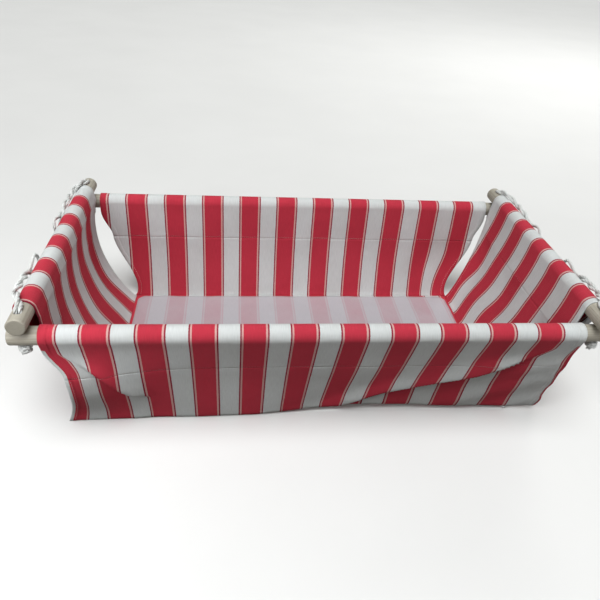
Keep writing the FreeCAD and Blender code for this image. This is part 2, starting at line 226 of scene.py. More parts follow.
def tone(red: int, green: int, blue: int) -> Colour:
    """A colour as light from its screen values, by the sRGB rule.

    Args:
        red: The red value, from 0 to 255.
        green: The green value.
        blue: The blue value.

    Returns:
        The three channels as light.
    """
    def light(value: int) -> float:
        """One channel."""
        share = value / 255
        return share / 12.92 if share <= 0.04045 else ((share + 0.055) / 1.055) ** 2.4
    return light(red), light(green), light(blue)


def grey(value: float) -> Colour:
    """A grey of equal channels."""
    return value, value, value


def opaque(colour: Colour) -> tuple[float, float, float, float]:
    """A colour with full alpha."""
    return *colour, 1.0


class Nodes:
    """Short calls for building a node tree."""

    def __init__(self, tree: bpy.types.NodeTree) -> None:
        """Start on a tree."""
        self.tree = tree

    def give(self, target: Socket, value: Any) -> None:
        """Link a socket to an input, or set a plain value on it.

        Args:
            target: The input.
            value: A socket or a plain value.
        """
        if isinstance(value, Socket):
            self.tree.links.new(value, target)
        else:
            target.default_value = value

    def add(self, kind: str, inputs: dict | None = None, **settings: Any) -> bpy.types.Node:
        """Add a node.

        Args:
            kind: The node's type.
            inputs: Values or sockets for its inputs, by name or number.
            settings: Values for the node's own settings.

        Returns:
            The node.
        """
        node = self.tree.nodes.new(kind)
        for key, value in settings.items():
            setattr(node, key, value)
        for key, value in (inputs or {}).items():
            self.give(node.inputs[key], value)
        return node

    def math(self, operation: str, *values: Socket | float) -> Socket:
        """A math node's result."""
        return self.add("ShaderNodeMath", dict(enumerate(values)), operation=operation).outputs[0]

    def vector(self, operation: str, first: Socket, second: tuple, output: int | str = 0) -> Socket:
        """A vector math node's result."""
        node = self.add("ShaderNodeVectorMath", {0: first, 1: second}, operation=operation)
        return node.outputs[output]

    def parts(self, vector: Socket) -> Sequence[Socket]:
        """The x, y and z of a vector."""
        return self.add("ShaderNodeSeparateXYZ", {0: vector}).outputs

    def weigh(self, first: Socket, first_share: float, second: Socket, second_share: float) -> Socket:
        """The sum of two values, each times its own share."""
        weighed = self.math("MULTIPLY", first, first_share)
        return self.math("ADD", weighed, self.math("MULTIPLY", second, second_share))

    def ridges(self, value: Socket) -> Socket:
        """Rounded ridges, one for each whole step of the value."""
        return self.math("ABSOLUTE", self.math("SINE", self.math("MULTIPLY", value, math.pi)))

    def noise(self, vector: Socket, scale: float, detail: float = 3.0, rough: float = 0.5) -> Socket:
        """A noise texture's value."""
        inputs = {"Vector": vector, "Scale": scale, "Detail": detail, "Roughness": rough}
        return self.add("ShaderNodeTexNoise", inputs).outputs["Fac"]

    def jitter(self, vector: Socket, scale: float, reach: float) -> Socket:
        """A small uneven shift to both sides."""
        middled = self.math("SUBTRACT", self.noise(vector, scale, 2.0), 0.5)
        return self.math("MULTIPLY", middled, reach)

    def ramp(self, factor: Socket, stops: Sequence[tuple[float, Colour]], constant: bool = False) -> Socket:
        """A colour ramp's colour.

        Args:
            factor: The socket that drives it.
            stops: Places and colours.
            constant: Hold each colour until the next stop.

        Returns:
            The colour socket.
        """
        node = self.add("ShaderNodeValToRGB", {"Fac": factor})
        node.color_ramp.interpolation = "CONSTANT" if constant else "LINEAR"
        elements = node.color_ramp.elements
        while len(elements) < len(stops):
            elements.new(0.5)
        for element, (place, colour) in zip(elements, stops):
            element.position = place
            element.color = opaque(colour)
        return node.outputs["Color"]

    def mix(self, factor: Any, first: Any, second: Any, blend: str = "MIX") -> Socket:
        """Mix two colours.

        Args:
            factor: How much of the second colour to take, as a socket or a value.
            first: The first colour.
            second: The second colour.
            blend: How they are mixed.

        Returns:
            The colour socket.
        """
        node = self.add("ShaderNodeMix", data_type="RGBA", blend_type=blend)
        for index, value in ((0, factor), (6, first), (7, second)):
            self.give(node.inputs[index], value)
        return node.outputs[2]

    def remap(self, value: Socket, low: float, high: float, to_low: float, to_high: float) -> Socket:
        """Map a value from one range to another, held at the ends."""
        inputs = {"Value": value, "From Min": low, "From Max": high, "To Min": to_low, "To Max": to_high}
        return self.add("ShaderNodeMapRange", inputs).outputs["Result"]


@dataclass(frozen=True)
class Band:
    """A band of the woven stripe: its start as a share of the repeat, its colour and how much red it has."""

    start: float
    colour: Colour
    redness: float


@dataclass
class SharedEffects:
    """Node groups that several finishes use, each built once."""

    wobble_scale: float = 160.0
    wobble: float = 0.0006
    slub_stretch: tuple = (1400.0, 60.0, 1.0)
    thread_share: float = 0.7
    ragged_scale: float = 420.0
    ragged: float = 0.0010
    red: Colour = tone(204, 58, 76)
    cream: Colour = tone(224, 176, 172)
    line: Colour = tone(158, 44, 64)
    white: Colour = tone(224, 228, 228)

    def __post_init__(self) -> None:
        """Build the groups."""
        self.weave = self.build_weave()
        self.stripes = self.build_stripes()
        self.mottle = self.build_mottle()

    @staticmethod
    def group(name: str, inputs: Sequence[tuple[str, str]], outputs: Sequence[tuple[str, str]]) -> tuple:
        """Start a node group.

        Args:
            name: The group's name.
            inputs: Names and types of its inputs.
            outputs: Names and types of its outputs.

        Returns:
            The group, its builder, the group's inputs to read from and its outputs to feed.
        """
        tree = bpy.data.node_groups.new(name, "ShaderNodeTree")
        for label, kind in inputs:
            tree.interface.new_socket(label, in_out="INPUT", socket_type=kind)
        for label, kind in outputs:
            tree.interface.new_socket(label, in_out="OUTPUT", socket_type=kind)
        nodes = Nodes(tree)
        return tree, nodes, nodes.add("NodeGroupInput").outputs, nodes.add("NodeGroupOutput").inputs

    def build_weave(self) -> bpy.types.NodeTree:
        """Plain weave: crossing threads that rise and dip in turn, with shade painted into the dips.

        Returns:
            The node group.
        """
        tree, nodes, given, out = self.group(
            "plain_weave",
            [("Cloth", "NodeSocketVector"), ("Pitch", "NodeSocketFloat")],
            [("Height", "NodeSocketFloat"), ("Thread", "NodeSocketFloat")],
        )
        place = nodes.parts(given["Cloth"])
        wobble = nodes.jitter(given["Cloth"], self.wobble_scale, self.wobble)
        across = nodes.math("DIVIDE", nodes.math("ADD", place[0], wobble), given["Pitch"])
        down = nodes.math("DIVIDE", nodes.math("ADD", place[1], wobble), given["Pitch"])
        crossing = nodes.math("ADD", nodes.math("FLOOR", across), nodes.math("FLOOR", down))
        turn = nodes.math("PINGPONG", crossing, 1.0)
        over = nodes.math("MULTIPLY", nodes.ridges(across), turn)
        under = nodes.math("MULTIPLY", nodes.ridges(down), nodes.math("SUBTRACT", 1.0, turn))
        height = nodes.math("ADD", over, under)
        slub = nodes.noise(nodes.vector("MULTIPLY", given["Cloth"], self.slub_stretch), 1.0, 2.0)
        nodes.give(out["Height"], nodes.weigh(height, self.thread_share, slub, 1 - self.thread_share))
        # Painted shade: the Thread output is darker in the dips between threads, times the yarn's own uneven
        # slub tone.
        shaded = nodes.remap(height, 0.0, 1.0, 0.8, 1.0)
        nodes.give(out["Thread"], nodes.math("MULTIPLY", slub, shaded))
        return tree

    def build_stripes(self) -> bpy.types.NodeTree:
        """The woven stripe: a broad red, and a white edged with fine red and cream lines.

        Returns:
            The node group.
        """
        tree, nodes, given, out = self.group(
            "woven_stripe",
            [("Cloth", "NodeSocketVector"), ("First Red", "NodeSocketFloat")],
            [("Color", "NodeSocketColor"), ("Red Share", "NodeSocketFloat")],
        )
        bands = (
            Band(0.0, self.red, 1.0),
            Band(0.440, self.cream, 0.35),
            Band(0.478, self.line, 0.8),
            Band(0.510, self.white, 0.0),
            Band(0.930, self.line, 0.8),
            Band(0.962, self.cream, 0.35),
        )
        ragged = nodes.jitter(given["Cloth"], self.ragged_scale, self.ragged)
        place = nodes.math("ADD", nodes.parts(given["Cloth"])[0], ragged)
        across = nodes.math("SUBTRACT", place, given["First Red"])
        turn = nodes.math("FRACT", nodes.math("DIVIDE", across, STRIPE_REPEAT))
        colours = [(band.start, band.colour) for band in bands]
        nodes.give(out["Color"], nodes.ramp(turn, colours, constant=True))
        shares = [(band.start, grey(band.redness)) for band in bands]
        nodes.give(out["Red Share"], nodes.ramp(turn, shares, constant=True))
        return tree

    def build_mottle(self) -> bpy.types.NodeTree:
        """Broad and fine unevenness from use.

        Returns:
            The node group.
        """
        tree, nodes, given, out = self.group(
            "use_mottle",
            [("Place", "NodeSocketVector"), ("Scale", "NodeSocketFloat")],
            [("Broad", "NodeSocketFloat"), ("Fine", "NodeSocketFloat")],
        )
        inputs = {0: given["Place"], "Scale": given["Scale"]}
        scaled = nodes.add("ShaderNodeVectorMath", inputs, operation="SCALE").outputs[0]
        nodes.give(out["Broad"], nodes.noise(scaled, 1.0, 4.0, 0.55))
        nodes.give(out["Fine"], nodes.noise(scaled, 9.0, 3.0, 0.6))
        return tree


class Finish:
    """A material under construction, with its main shader ready."""

    def __init__(self, name: str) -> None:
        """Make the material and keep its tree at hand.

        Args:
            name: The material's name.
        """
        self.material = bpy.data.materials.new(name)
        self.material.use_nodes = True
        self.nodes = Nodes(self.material.node_tree)
        self.shader = self.material.node_tree.nodes["Principled BSDF"]

    def shared(self, group: bpy.types.NodeTree, **inputs: Any) -> Sequence[Socket]:
        """Place a shared effect.

        Args:
            group: The effect's node group.
            inputs: Sockets or values for its inputs, with underscores in their names for spaces.

        Returns:
            The effect's outputs.
        """
        node = self.nodes.add("ShaderNodeGroup", node_tree=group)
        for key, value in inputs.items():
            self.nodes.give(node.inputs[key.replace("_", " ")], value)
        return node.outputs

    def woven(self, effects: SharedEffects, first_red: float, pitch: float, scale: float) -> tuple:
        """Place the stripe, weave and mottle of a striped cloth.

        Args:
            effects: The shared effects.
            first_red: Where a red band starts, in metres across the cloth.
            pitch: Distance between threads.
            scale: Scale of the mottle.

        Returns:
            The outputs of the stripe, the weave and the mottle.
        """
        place = self.cloth_place()
        stripe = self.shared(effects.stripes, Cloth=place, First_Red=first_red)
        weave = self.shared(effects.weave, Cloth=place, Pitch=pitch)
        return stripe, weave, self.shared(effects.mottle, Place=place, Scale=scale)

    def feed(self, **sockets: Any) -> None:
        """Link sockets to the shader, or set plain values on it, with underscores in names for spaces."""
        for key, value in sockets.items():
            self.nodes.give(self.shader.inputs[key.replace("_", " ")], value)

    def rough(self, mottle: Sequence[Socket], smooth: float, dull: float) -> None:
        """Let the roughness follow the fine mottle between two values."""
        self.feed(Roughness=self.nodes.remap(mottle["Fine"], 0.2, 0.8, smooth, dull))

    def bump(self, height: Socket, distance: float, strength: float) -> None:
        """Raise the surface by a height socket."""
        inputs = {"Height": height, "Distance": distance, "Strength": strength}
        self.feed(Normal=self.nodes.add("ShaderNodeBump", inputs).outputs["Normal"])

    def cloth_place(self) -> Socket:
        """The cloth coordinates of the surface."""
        return self.nodes.add("ShaderNodeUVMap", uv_map="cloth").outputs["UV"]

    def object_place(self) -> Socket:
        """The place in the object's frame, in metres."""
        return self.nodes.add("ShaderNodeTexCoord").outputs["Object"]


@dataclass(frozen=True)
class CanvasFinish:
    """Striped cotton canvas, with shade painted into the dips of the weave."""

    name: str
    first_red: float
    pitch: float = 0.0011
    mottle_scale: float = 9.0
    hollow_shade: float = 0.80
    worn: Colour = (0.90, 0.89, 0.88)
    unevenness: float = 1.6
    relief: float = 0.0004

    def material(self, effects: SharedEffects) -> bpy.types.Material:
        """Build the material.

        Args:
            effects: The shared effects.

        Returns:
            The material.
        """
        finish = Finish(self.name)
        nodes = finish.nodes
        stripe, weave, mottle = finish.woven(effects, self.first_red, self.pitch, self.mottle_scale)
        # Painted shade: the stripe colour is darker in the dips of the weave.
        threads = nodes.ramp(weave["Thread"], [(0.15, grey(self.hollow_shade)), (0.75, grey(1.0))])
        colour = nodes.mix(1.0, stripe["Color"], threads, "MULTIPLY")
        worn = nodes.ramp(mottle["Broad"], [(0.3, self.worn), (0.7, grey(1.0))])
        finish.feed(Base_Color=nodes.mix(1.0, colour, worn, "MULTIPLY"))
        finish.rough(mottle, smooth=0.78, dull=0.94)
        finish.feed(Sheen_Weight=0.03, Sheen_Roughness=0.5, Specular_IOR_Level=0.12)
        height = nodes.weigh(weave["Height"], 1.0, mottle["Fine"], self.unevenness)
        finish.bump(height, self.relief, strength=0.8)
        return finish.material


@dataclass(frozen=True)
class LinerFinish:
    """Thin white cotton that lets the stripes under it show faintly, with painted shade: darker all over for
    the shade it lies in, and darker in the dips of the weave.
    """

    name: str
    first_red: float
    pitch: float = 0.0008
    mottle_scale: float = 7.0
    # Painted shade: the white and the red that shows through are both darker than the cotton, for the shade
    # the liner lies in deep in the cradle.
    plain: Colour = tone(178, 177, 182)
    shaded_show_through: Colour = tone(176, 94, 108)
    hollow_shade: float = 0.90
    unevenness: float = 2.0
    relief: float = 0.0003

    def material(self, effects: SharedEffects) -> bpy.types.Material:
        """Build the material.

        Args:
            effects: The shared effects.

        Returns:
            The material.
        """
        finish = Finish(self.name)
        nodes = finish.nodes
        stripe, weave, mottle = finish.woven(effects, self.first_red, self.pitch, self.mottle_scale)
        sheer = nodes.remap(mottle["Broad"], 0.35, 0.65, 0.24, 0.42)
        through = nodes.math("MULTIPLY", stripe["Red Share"], sheer)
        colour = nodes.mix(through, opaque(self.plain), opaque(self.shaded_show_through))
        # Painted shade: the liner colour is darker in the dips of the weave.
        threads = nodes.ramp(weave["Thread"], [(0.2, grey(self.hollow_shade)), (0.7, grey(1.0))])
        finish.feed(Base_Color=nodes.mix(1.0, colour, threads, "MULTIPLY"), Sheen_Weight=0.05)
        finish.rough(mottle, smooth=0.80, dull=0.95)
        height = nodes.weigh(weave["Height"], 1.0, mottle["Fine"], self.unevenness)
        finish.bump(height, self.relief, strength=0.7)
        return finish.material


@dataclass(frozen=True)
class ThreadFinish:
    """Sewing thread."""

    name: str = "sewing_thread"
    mottle_scale: float = 300.0
    dark: Colour = tone(186, 168, 166)
    pale: Colour = tone(214, 196, 192)
    relief: float = 0.0001

    def material(self, effects: SharedEffects) -> bpy.types.Material:
        """Build the material.

        Args:
            effects: The shared effects.

        Returns:
            The material.
        """
        finish = Finish(self.name)
        mottle = finish.shared(effects.mottle, Place=finish.object_place(), Scale=self.mottle_scale)
        finish.feed(Base_Color=finish.nodes.ramp(mottle["Broad"], [(0.3, self.dark), (0.7, self.pale)]))
        finish.rough(mottle, smooth=0.5, dull=0.75)
        finish.bump(mottle["Fine"], self.relief, strength=0.6)
        return finish.material


@dataclass(frozen=True)
class RopeFinish:
    """Off-white laid cotton rope, with shade painted into the grooves between the yarns."""

    name: str = "laid_rope"
    mottle_scale: float = 60.0
    dark: Colour = tone(206, 208, 205)
    pale: Colour = tone(238, 241, 239)
    yarns_round: float = 8.0
    yarns_per_metre: float = 900.0
    hollow_shade: float = 0.72
    relief: float = 0.0003

    def material(self, effects: SharedEffects) -> bpy.types.Material:
        """Build the material.

        Args:
            effects: The shared effects.

        Returns:
            The material.
        """
        finish = Finish(self.name)
        nodes = finish.nodes
        along, around, _ = nodes.parts(finish.cloth_place())
        ridges = nodes.ridges(nodes.weigh(around, self.yarns_round, along, self.yarns_per_metre))
        mottle = finish.shared(effects.mottle, Place=finish.object_place(), Scale=self.mottle_scale)
        base = nodes.ramp(mottle["Broad"], [(0.3, self.dark), (0.65, self.pale)])
        # Painted shade: the grooves between the yarns are darker.
        lines = nodes.ramp(ridges, [(0.0, grey(self.hollow_shade)), (0.6, grey(1.0))])
        finish.feed(Base_Color=nodes.mix(1.0, base, lines, "MULTIPLY"), Sheen_Weight=0.3)
        finish.rough(mottle, smooth=0.7, dull=0.92)
        finish.bump(nodes.math("ADD", ridges, mottle["Fine"]), self.relief, strength=0.9)
        return finish.material


@dataclass(frozen=True)
class WoodFinish:
    """Bare sanded wood with the grain along the rail."""

    name: str
    along: Vector
    centre: Vector
    seed: float
    mottle_scale: float = 14.0
    dark: Colour = tone(158, 153, 139)
    pale: Colour = tone(186, 181, 168)
    late_wood: Colour = tone(123, 112, 96)
    end_grain: Colour = tone(138, 134, 122)
    grain_stretch: tuple = (1.1, 26.0, 26.0)
    fibre_stretch: tuple = (30.0, 1600.0, 1600.0)
    heart_slant: float = 0.012
    heart_depth: float = 0.016
    rings_per_metre: float = 430.0
    ring_waver: float = 3.4
    relief: float = 0.0003

    def laid_along(self, finish: Finish) -> Socket:
        """The place in the rail's own frame, with x along the rail.

        Args:
            finish: The material under construction.

        Returns:
            The place in metres.
        """
        turn = 0.0 if abs(self.along.x) > 0.5 else -math.pi / 2
        held = finish.nodes.vector("SUBTRACT", finish.object_place(), tuple(self.centre))
        inputs = {"Vector": held, "Angle": turn}
        return finish.nodes.add("ShaderNodeVectorRotate", inputs, rotation_type="Z_AXIS").outputs[0]

    def late_rings(self, nodes: Nodes, laid: Socket) -> Socket:
        """The dark late wood of the year rings.

        Args:
            nodes: The material's node builder.
            laid: The place in the rail's own frame.

        Returns:
            How late the wood is, from 0 to 1.
        """
        drawn = nodes.vector("MULTIPLY", laid, self.grain_stretch)
        waver = nodes.noise(nodes.vector("ADD", drawn, (self.seed, self.seed * 1.7, 0.3)), 1.6, 4.0, 0.55)
        along, across, height = nodes.parts(laid)
        side = nodes.weigh(across, 1.0, along, self.heart_slant)
        depth = nodes.math("ADD", height, self.heart_depth)
        squares = nodes.math("ADD", nodes.math("MULTIPLY", side, side), nodes.math("MULTIPLY", depth, depth))
        reach = nodes.math("SQRT", squares)
        rings = nodes.math("FRACT", nodes.weigh(reach, self.rings_per_metre, waver, self.ring_waver))
        stops = [(0.0, grey(0.25)), (0.55, grey(0.0)), (0.92, grey(1.0)), (1.0, grey(0.3))]
        return nodes.ramp(rings, stops)

    def material(self, effects: SharedEffects) -> bpy.types.Material:
        """Build the material.

        Args:
            effects: The shared effects.

        Returns:
            The material.
        """
        finish = Finish(self.name)
        nodes = finish.nodes
        laid = self.laid_along(finish)
        late = self.late_rings(nodes, laid)
        fibres = nodes.noise(nodes.vector("MULTIPLY", laid, self.fibre_stretch), 1.0, 3.0, 0.6)
        mottle = finish.shared(effects.mottle, Place=laid, Scale=self.mottle_scale)
        pale = nodes.ramp(mottle["Broad"], [(0.3, self.dark), (0.7, self.pale)])
        colour = nodes.mix(nodes.math("MULTIPLY", late, 0.42), pale, opaque(self.late_wood))
        streak = nodes.ramp(fibres, [(0.28, grey(0.74)), (0.52, grey(1.0))])
        colour = nodes.mix(0.85, colour, streak, "MULTIPLY")
        normal = nodes.add("ShaderNodeNewGeometry").outputs["True Normal"]
        facing = nodes.math("ABSOLUTE", nodes.vector("DOT_PRODUCT", normal, tuple(self.along), "Value"))
        cut = nodes.remap(facing, 0.75, 0.98, 0.0, 1.0)
        colour = nodes.mix(nodes.math("MULTIPLY", cut, 0.6), colour, opaque(self.end_grain))
        finish.feed(Base_Color=colour, Specular_IOR_Level=0.35)
        finish.rough(mottle, smooth=0.52, dull=0.72)
        finish.bump(nodes.weigh(fibres, 0.8, late, 0.5), self.relief, strength=0.7)
        return finish.material


# Cloth

class Side(Enum):
    """The four walls of the cradle, with the way each one faces in plan."""

    FRONT = (0.0, -1.0)
    BACK = (0.0, 1.0)
    LEFT = (-1.0, 0.0)
    RIGHT = (1.0, 0.0)

    @property
    def label(self) -> str:
        """The wall's name in the record."""
        return self.name.lower()


@dataclass
class ClothWall(ABC):
    """A wall of cloth that hangs from a sleeve on one rail and leans in to the base.

    hang_side is 1 where the cloth comes down over the rail's outer side, and -1 for the inner side.
    sleeve_slack is the most that the sleeve puffs out between the rail and the seam, and stitch_lie
    how far the seam's stitches lie out on the smooth face, in thicknesses of the cloth.
    """

    side: Side
    rail_distance: float
    rail_height: float
    lean: float
    length: float
    top_width: float
    foot_width: float
    canvas: bpy.types.Material
    thread: bpy.types.Material
    hang_side: int = -1
    base_rise: float = 0.12
    sleeve_drop: float = 0.075
    sleeve_radius: float = 0.0151
    sleeve_slack: float = 0.0022
    stitch_lie: float = 0.5
    settle_depth: float = 0.150
    pull_depths: tuple = (0.015, 0.070)
    fold_depths: tuple = (0.030, 0.075)
    turn_under: float = 0.008
    hem_width: float = 0.011
    hem_step: float = 0.0007
    foot_tuck: float = 0.0016
    cloth: float = CLOTH_THICKNESS
    single_layer: float = 0.52
    pressed: float = 0.45
    step: float = 0.004
    near_points: int = 15
    far_points: int = 18
    turn_points: int = 25

    @abstractmethod
    def fold(self, along: Array, depth: Array) -> Array:
        """How far the folds stand out."""

    @abstractmethod
    def pull(self, share: Array, depth: Array) -> Array:
        """How far the side edges are pulled along the rail, above and below the seam."""

    @abstractmethod
    def weft_place(self, along: Array, depth: Array, share: Array) -> Array:
        """The place across the cut cloth, which sets the stripe."""

    def belly(self, along: Array, depth: Array) -> Array:
        """How far the whole wall is pushed out between the rail and the base."""
        return np.zeros(np.shape(along))

    def drift(self, share: Array, fall: Array) -> Array:
        """How far the cloth has moved along the rail, below the seam."""
        drawn = (self.foot_width - self.top_width) / 2 * share
        return drawn * ease(fall)

    def fall(self, depth: Array) -> Array:
        """How far down from the seam to the base a depth is, as a share."""
        return np.clip((depth - self.sleeve_drop) / (self.length - self.sleeve_drop), 0, 1)

    def axes(self) -> tuple[Array, Array, Array, Array]:
        """Where the wall is and how it lies.

        Returns:
            The rail's middle, and the ways along, down and out of the wall.
        """
        out_x, out_y = self.side.value
        flat = np.array((out_x, out_y, 0.0))
        middle = flat * self.rail_distance + UP * self.rail_height
        along = np.array((abs(out_y), abs(out_x), 0.0))
        down = -flat * math.sin(self.lean) - UP * math.cos(self.lean)
        out = flat * math.cos(self.lean) - UP * math.sin(self.lean)
        return middle, along, down, out

    def place(self, along: Array, depth: Array, out: Array) -> Array:
        """Points of the wall in the frame.

        Args:
            along: Distance along the rail from its middle.
            depth: Distance down the wall from the rail's axis.
            out: Distance out from the wall's flat.

        Returns:
            The points, with the last axis for x, y and z.
        """
        point, *ways = self.axes()
        for distance, way in zip((along, depth, out), ways):
            point = point + np.asarray(distance, float)[..., None] * way
        return point

    def rest_out(self, depth: Array | float) -> Array:
        """How far out the cloth hangs because it comes over one side of the rail.

        Args:
            depth: Places down the wall.

        Returns:
            The distances, positive on the outer side.
        """
        meet = math.asin(self.sleeve_radius / self.sleeve_drop)
        start = 1 - self.sleeve_radius * math.sin(meet) / self.settle_depth
        left = np.clip(1 - np.asarray(depth, float) / self.settle_depth, 0, None) / start
        return self.hang_side * self.sleeve_radius * math.cos(meet) * left ** 2

    def columns(self) -> Array:
        """Where the cloth's points stand across it, with close pairs at the side hems.

        Returns:
            Shares of half the width, from -1 to 1.
        """
        half = self.top_width / 2
        even = np.linspace(-1, 1, int(self.top_width / self.step) + 1)
        inner = 1 - self.hem_width / half
        pair = np.array((inner, inner - self.hem_step / half))
        return np.unique(np.concatenate((even, pair, -pair)))

    def thicken(self, piece: bpy.types.Object, share: Array, rows: int, thin_rows: int) -> None:
        """Give a sheet its thickness, doubled along the side hems.

        Args:
            piece: The sheet.
            share: The columns' shares of half the width.
            rows: How many rows of points it has.
            thin_rows: How many rows at the start are pressed thin.
        """
        group = piece.vertex_groups.new(name="layers")
        hem = np.abs(share) >= 1 - (self.hem_width + 0.0001) / (self.top_width / 2)
        weights = np.tile(np.where(hem, 1.0, self.single_layer), (rows, 1))
        weights[:thin_rows] *= self.pressed
        for weight in np.unique(weights):
            group.add(np.flatnonzero(weights.ravel() == weight).tolist(), float(weight), "REPLACE")
        solid = add_thickness(piece, self.cloth / self.single_layer)
        solid.vertex_group = "layers"
        solid.thickness_vertex_group = 0.0
        piece.modifiers.new("even_shading", "WEIGHTED_NORMAL").weight = 95

    def sheet(
        self, name: str, share: Array, along: Array, depth: Array, out: Array, run: Array,
        turned: int = 1, thin_rows: int = 0,
    ) -> bpy.types.Object:
        """Make a sheet from a grid of places.

        Args:
            name: The piece's name.
            share: The columns' shares of half the width.
            along: Places along the rail, rows by columns.
            depth: Places down the wall.
            out: Distances out.
            run: Distance along the cloth from its top hem, for each row.
            turned: Which face of the cloth is out, 1 or -1.
            thin_rows: How many rows at the start are pressed thin.

        Returns:
            The piece.
        """
        rows, columns = along.shape
        across = self.weft_place(along, depth, np.broadcast_to(share, along.shape))
        coords = np.stack((across, np.broadcast_to(run[:, None], along.shape)), axis=-1)
        flip = (self.side in (Side.BACK, Side.LEFT)) == (turned > 0)
        piece = mesh_piece(name, self.place(along, depth, out), grid_faces(rows, columns, flip), coords)
        piece.data.materials.append(self.canvas)
        self.thicken(piece, share, rows, thin_rows)
        return piece

    def sleeve_section(self) -> tuple[Array, Array, Array]:
        """The sleeve's section, from its turned hem round the rail and down to the seam.

        Returns:
            Distances out, depths, and how freely the cloth moves there.
        """
        radius, drop, way = self.sleeve_radius, self.sleeve_drop, self.hang_side
        meet = math.asin(radius / drop)
        touch_out, touch_depth = way * radius * math.cos(meet), radius * math.sin(meet)
        under = np.linspace(drop + self.turn_under, drop, 3)[:-1]
        near = np.linspace(0, 1, self.near_points)
        far = np.linspace(0, 1, self.far_points)
        turn = np.linspace(math.pi - meet, 2 * math.pi + meet, self.turn_points)[1:-1]
        behind = way * self.cloth * 0.8
        lie = self.rest_out(drop) - behind
        near_out = lie + near * (-touch_out - lie)
        near_depth = drop + near * (touch_depth - drop)
        far_depth = touch_depth + far * (drop - touch_depth)
        round_out = way * radius * np.cos(turn)
        out = np.concatenate((self.rest_out(under) - behind, near_out, round_out, self.rest_out(far_depth)))
        depth = np.concatenate((under, near_depth, radius * np.sin(turn), far_depth))
        free = (0 * under, -np.sin(math.pi * near), 0 * turn, np.sin(math.pi * far))
        return out, depth, way * np.concatenate(free)

    def build_sleeve(self) -> bpy.types.Object:
        """The sleeve round the rail, sewn to the wall along the seam.

        Returns:
            The piece.
        """
        share = self.columns()
        out, depth, free = self.sleeve_section()
        run = run_along(np.stack((out, depth), axis=-1))
        shape = (len(out), len(share))
        shares, runs = np.broadcast_to(share, shape), np.broadcast_to(run[:, None], shape)
        depths = np.broadcast_to(depth[:, None], shape)
        along = shares * self.top_width / 2 + rise(depths, *self.pull_depths) * self.pull(shares, depths)
        slack = self.sleeve_slack * slack_noise(along, runs, 0.06, 3.1 + self.length)
        hanging = np.arange(len(out))[:, None] >= len(out) - self.far_points
        folds = hanging * rise(depths, *self.fold_depths) * self.fold(along, depths)
        outs = out[:, None] + free[:, None] * slack + folds + self.belly(along, depths)
        name = f"{self.side.label}_sleeve_cloth"
        piece = self.sheet(name, share, along, depths, outs, run, self.hang_side, thin_rows=2)
        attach(piece, "frame")
        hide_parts(f"{self.side.label}_sleeve")
        return piece

    def hang_grid(self) -> tuple[Array, Array, Array, Array]:
        """The hanging part of the wall, from the seam to the base.

        Returns:
            Its columns' shares of half the width, and its places along, down and out.
        """
        share = self.columns()
        drop = self.length - self.sleeve_drop
        fall = np.linspace(0, 1, int(drop / self.step) + 1)[:, None]
        depth = self.sleeve_drop + fall * drop + 0 * share
        spread, falls = np.broadcast_to(share, depth.shape), np.broadcast_to(fall, depth.shape)
        along = spread * self.top_width / 2 + self.drift(spread, falls) + self.pull(spread, depth)
        tuck = self.foot_tuck * rise(fall, 0.95, 1.0)
        out = self.rest_out(depth) + self.fold(along, depth) + self.belly(along, depth) - tuck
        return share, along, depth, out

    def lift_with_base(self, piece: bpy.types.Object) -> None:
        """Attach a hanging piece to the frame and give it a mesh of its own.

        Args:
            piece: The piece.
        """
        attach(piece, "frame")
        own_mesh(piece)

    def build_hanging(self) -> bpy.types.Object:
        """The wall from the seam to the base.

        Returns:
            The piece.
        """
        share, along, depth, out = self.hang_grid()
        sleeve_out, sleeve_depth, _ = self.sleeve_section()
        sleeve_run = run_along(np.stack((sleeve_out, sleeve_depth), axis=-1))[-1]
        run = sleeve_run + depth[:, 0] - self.sleeve_drop
        piece = self.sheet(f"{self.side.label}_wall_cloth", share, along, depth, out, run)
        self.lift_with_base(piece)
        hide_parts(f"{self.side.label}_panel")
        return piece

    def build_seam(self) -> bpy.types.Object:
        """Stitches along the seam, on both faces.

        Returns:
            The piece.
        """
        half = self.top_width / 2
        inset, above_seam = 0.003, 0.0022
        share = np.linspace(inset / half - 1, 1 - inset / half, int(2 * half / STITCH_LENGTH))
        depths = np.full(len(share), self.sleeve_drop - above_seam)
        line = share * half + self.pull(share, depths)
        hang = self.rest_out(depths) + self.belly(line, depths)
        folds = self.fold(line, depths) * rise(depths, *self.fold_depths)
        face = self.hang_side * self.cloth
        outs = (hang + self.stitch_lie * face + folds, hang - 1.25 * face)
        rows = [self.place(line, depths, out) for out in outs]
        outward = self.axes()[3]
        seam = stitch_piece(f"{self.side.label}_seam_stitches", rows, [outward] * 2, self.thread)
        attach(seam, "frame")
        return seam

    def build_hems(self) -> bpy.types.Object:
        """Stitches down the side hems, on both faces.

        Returns:
            The piece.
        """
        share, along, depth, out = self.hang_grid()
        from_inner_edge = 0.002
        numbers = np.arange(len(depth))
        stitches = int((self.length - self.sleeve_drop) / STITCH_LENGTH)
        rows_at = np.linspace(0.02, 0.98, stitches) * (len(depth) - 1)
        lie = 0.97 * self.cloth
        edges = []
        for sign in (-1, 1):
            hem = sign * (1 - (self.hem_width - from_inner_edge) / (self.top_width / 2))
            column = int(np.argmin(np.abs(share - hem)))
            places = [np.interp(rows_at, numbers, part[:, column]) for part in (along, depth, out)]
            for face in (lie, -lie):
                edges.append(self.place(places[0], places[1], places[2] + face))
        outward = self.axes()[3]
        hems = stitch_piece(f"{self.side.label}_hem_stitches", edges, [outward] * 4, self.thread)
        self.lift_with_base(hems)
        return hems

    def build(self) -> None:
        """Build every piece of the wall."""
        for piece in (self.build_sleeve(), self.build_hanging(), self.build_seam(), self.build_hems()):
            log.info("%s: %d points", piece.name, len(piece.data.vertices))


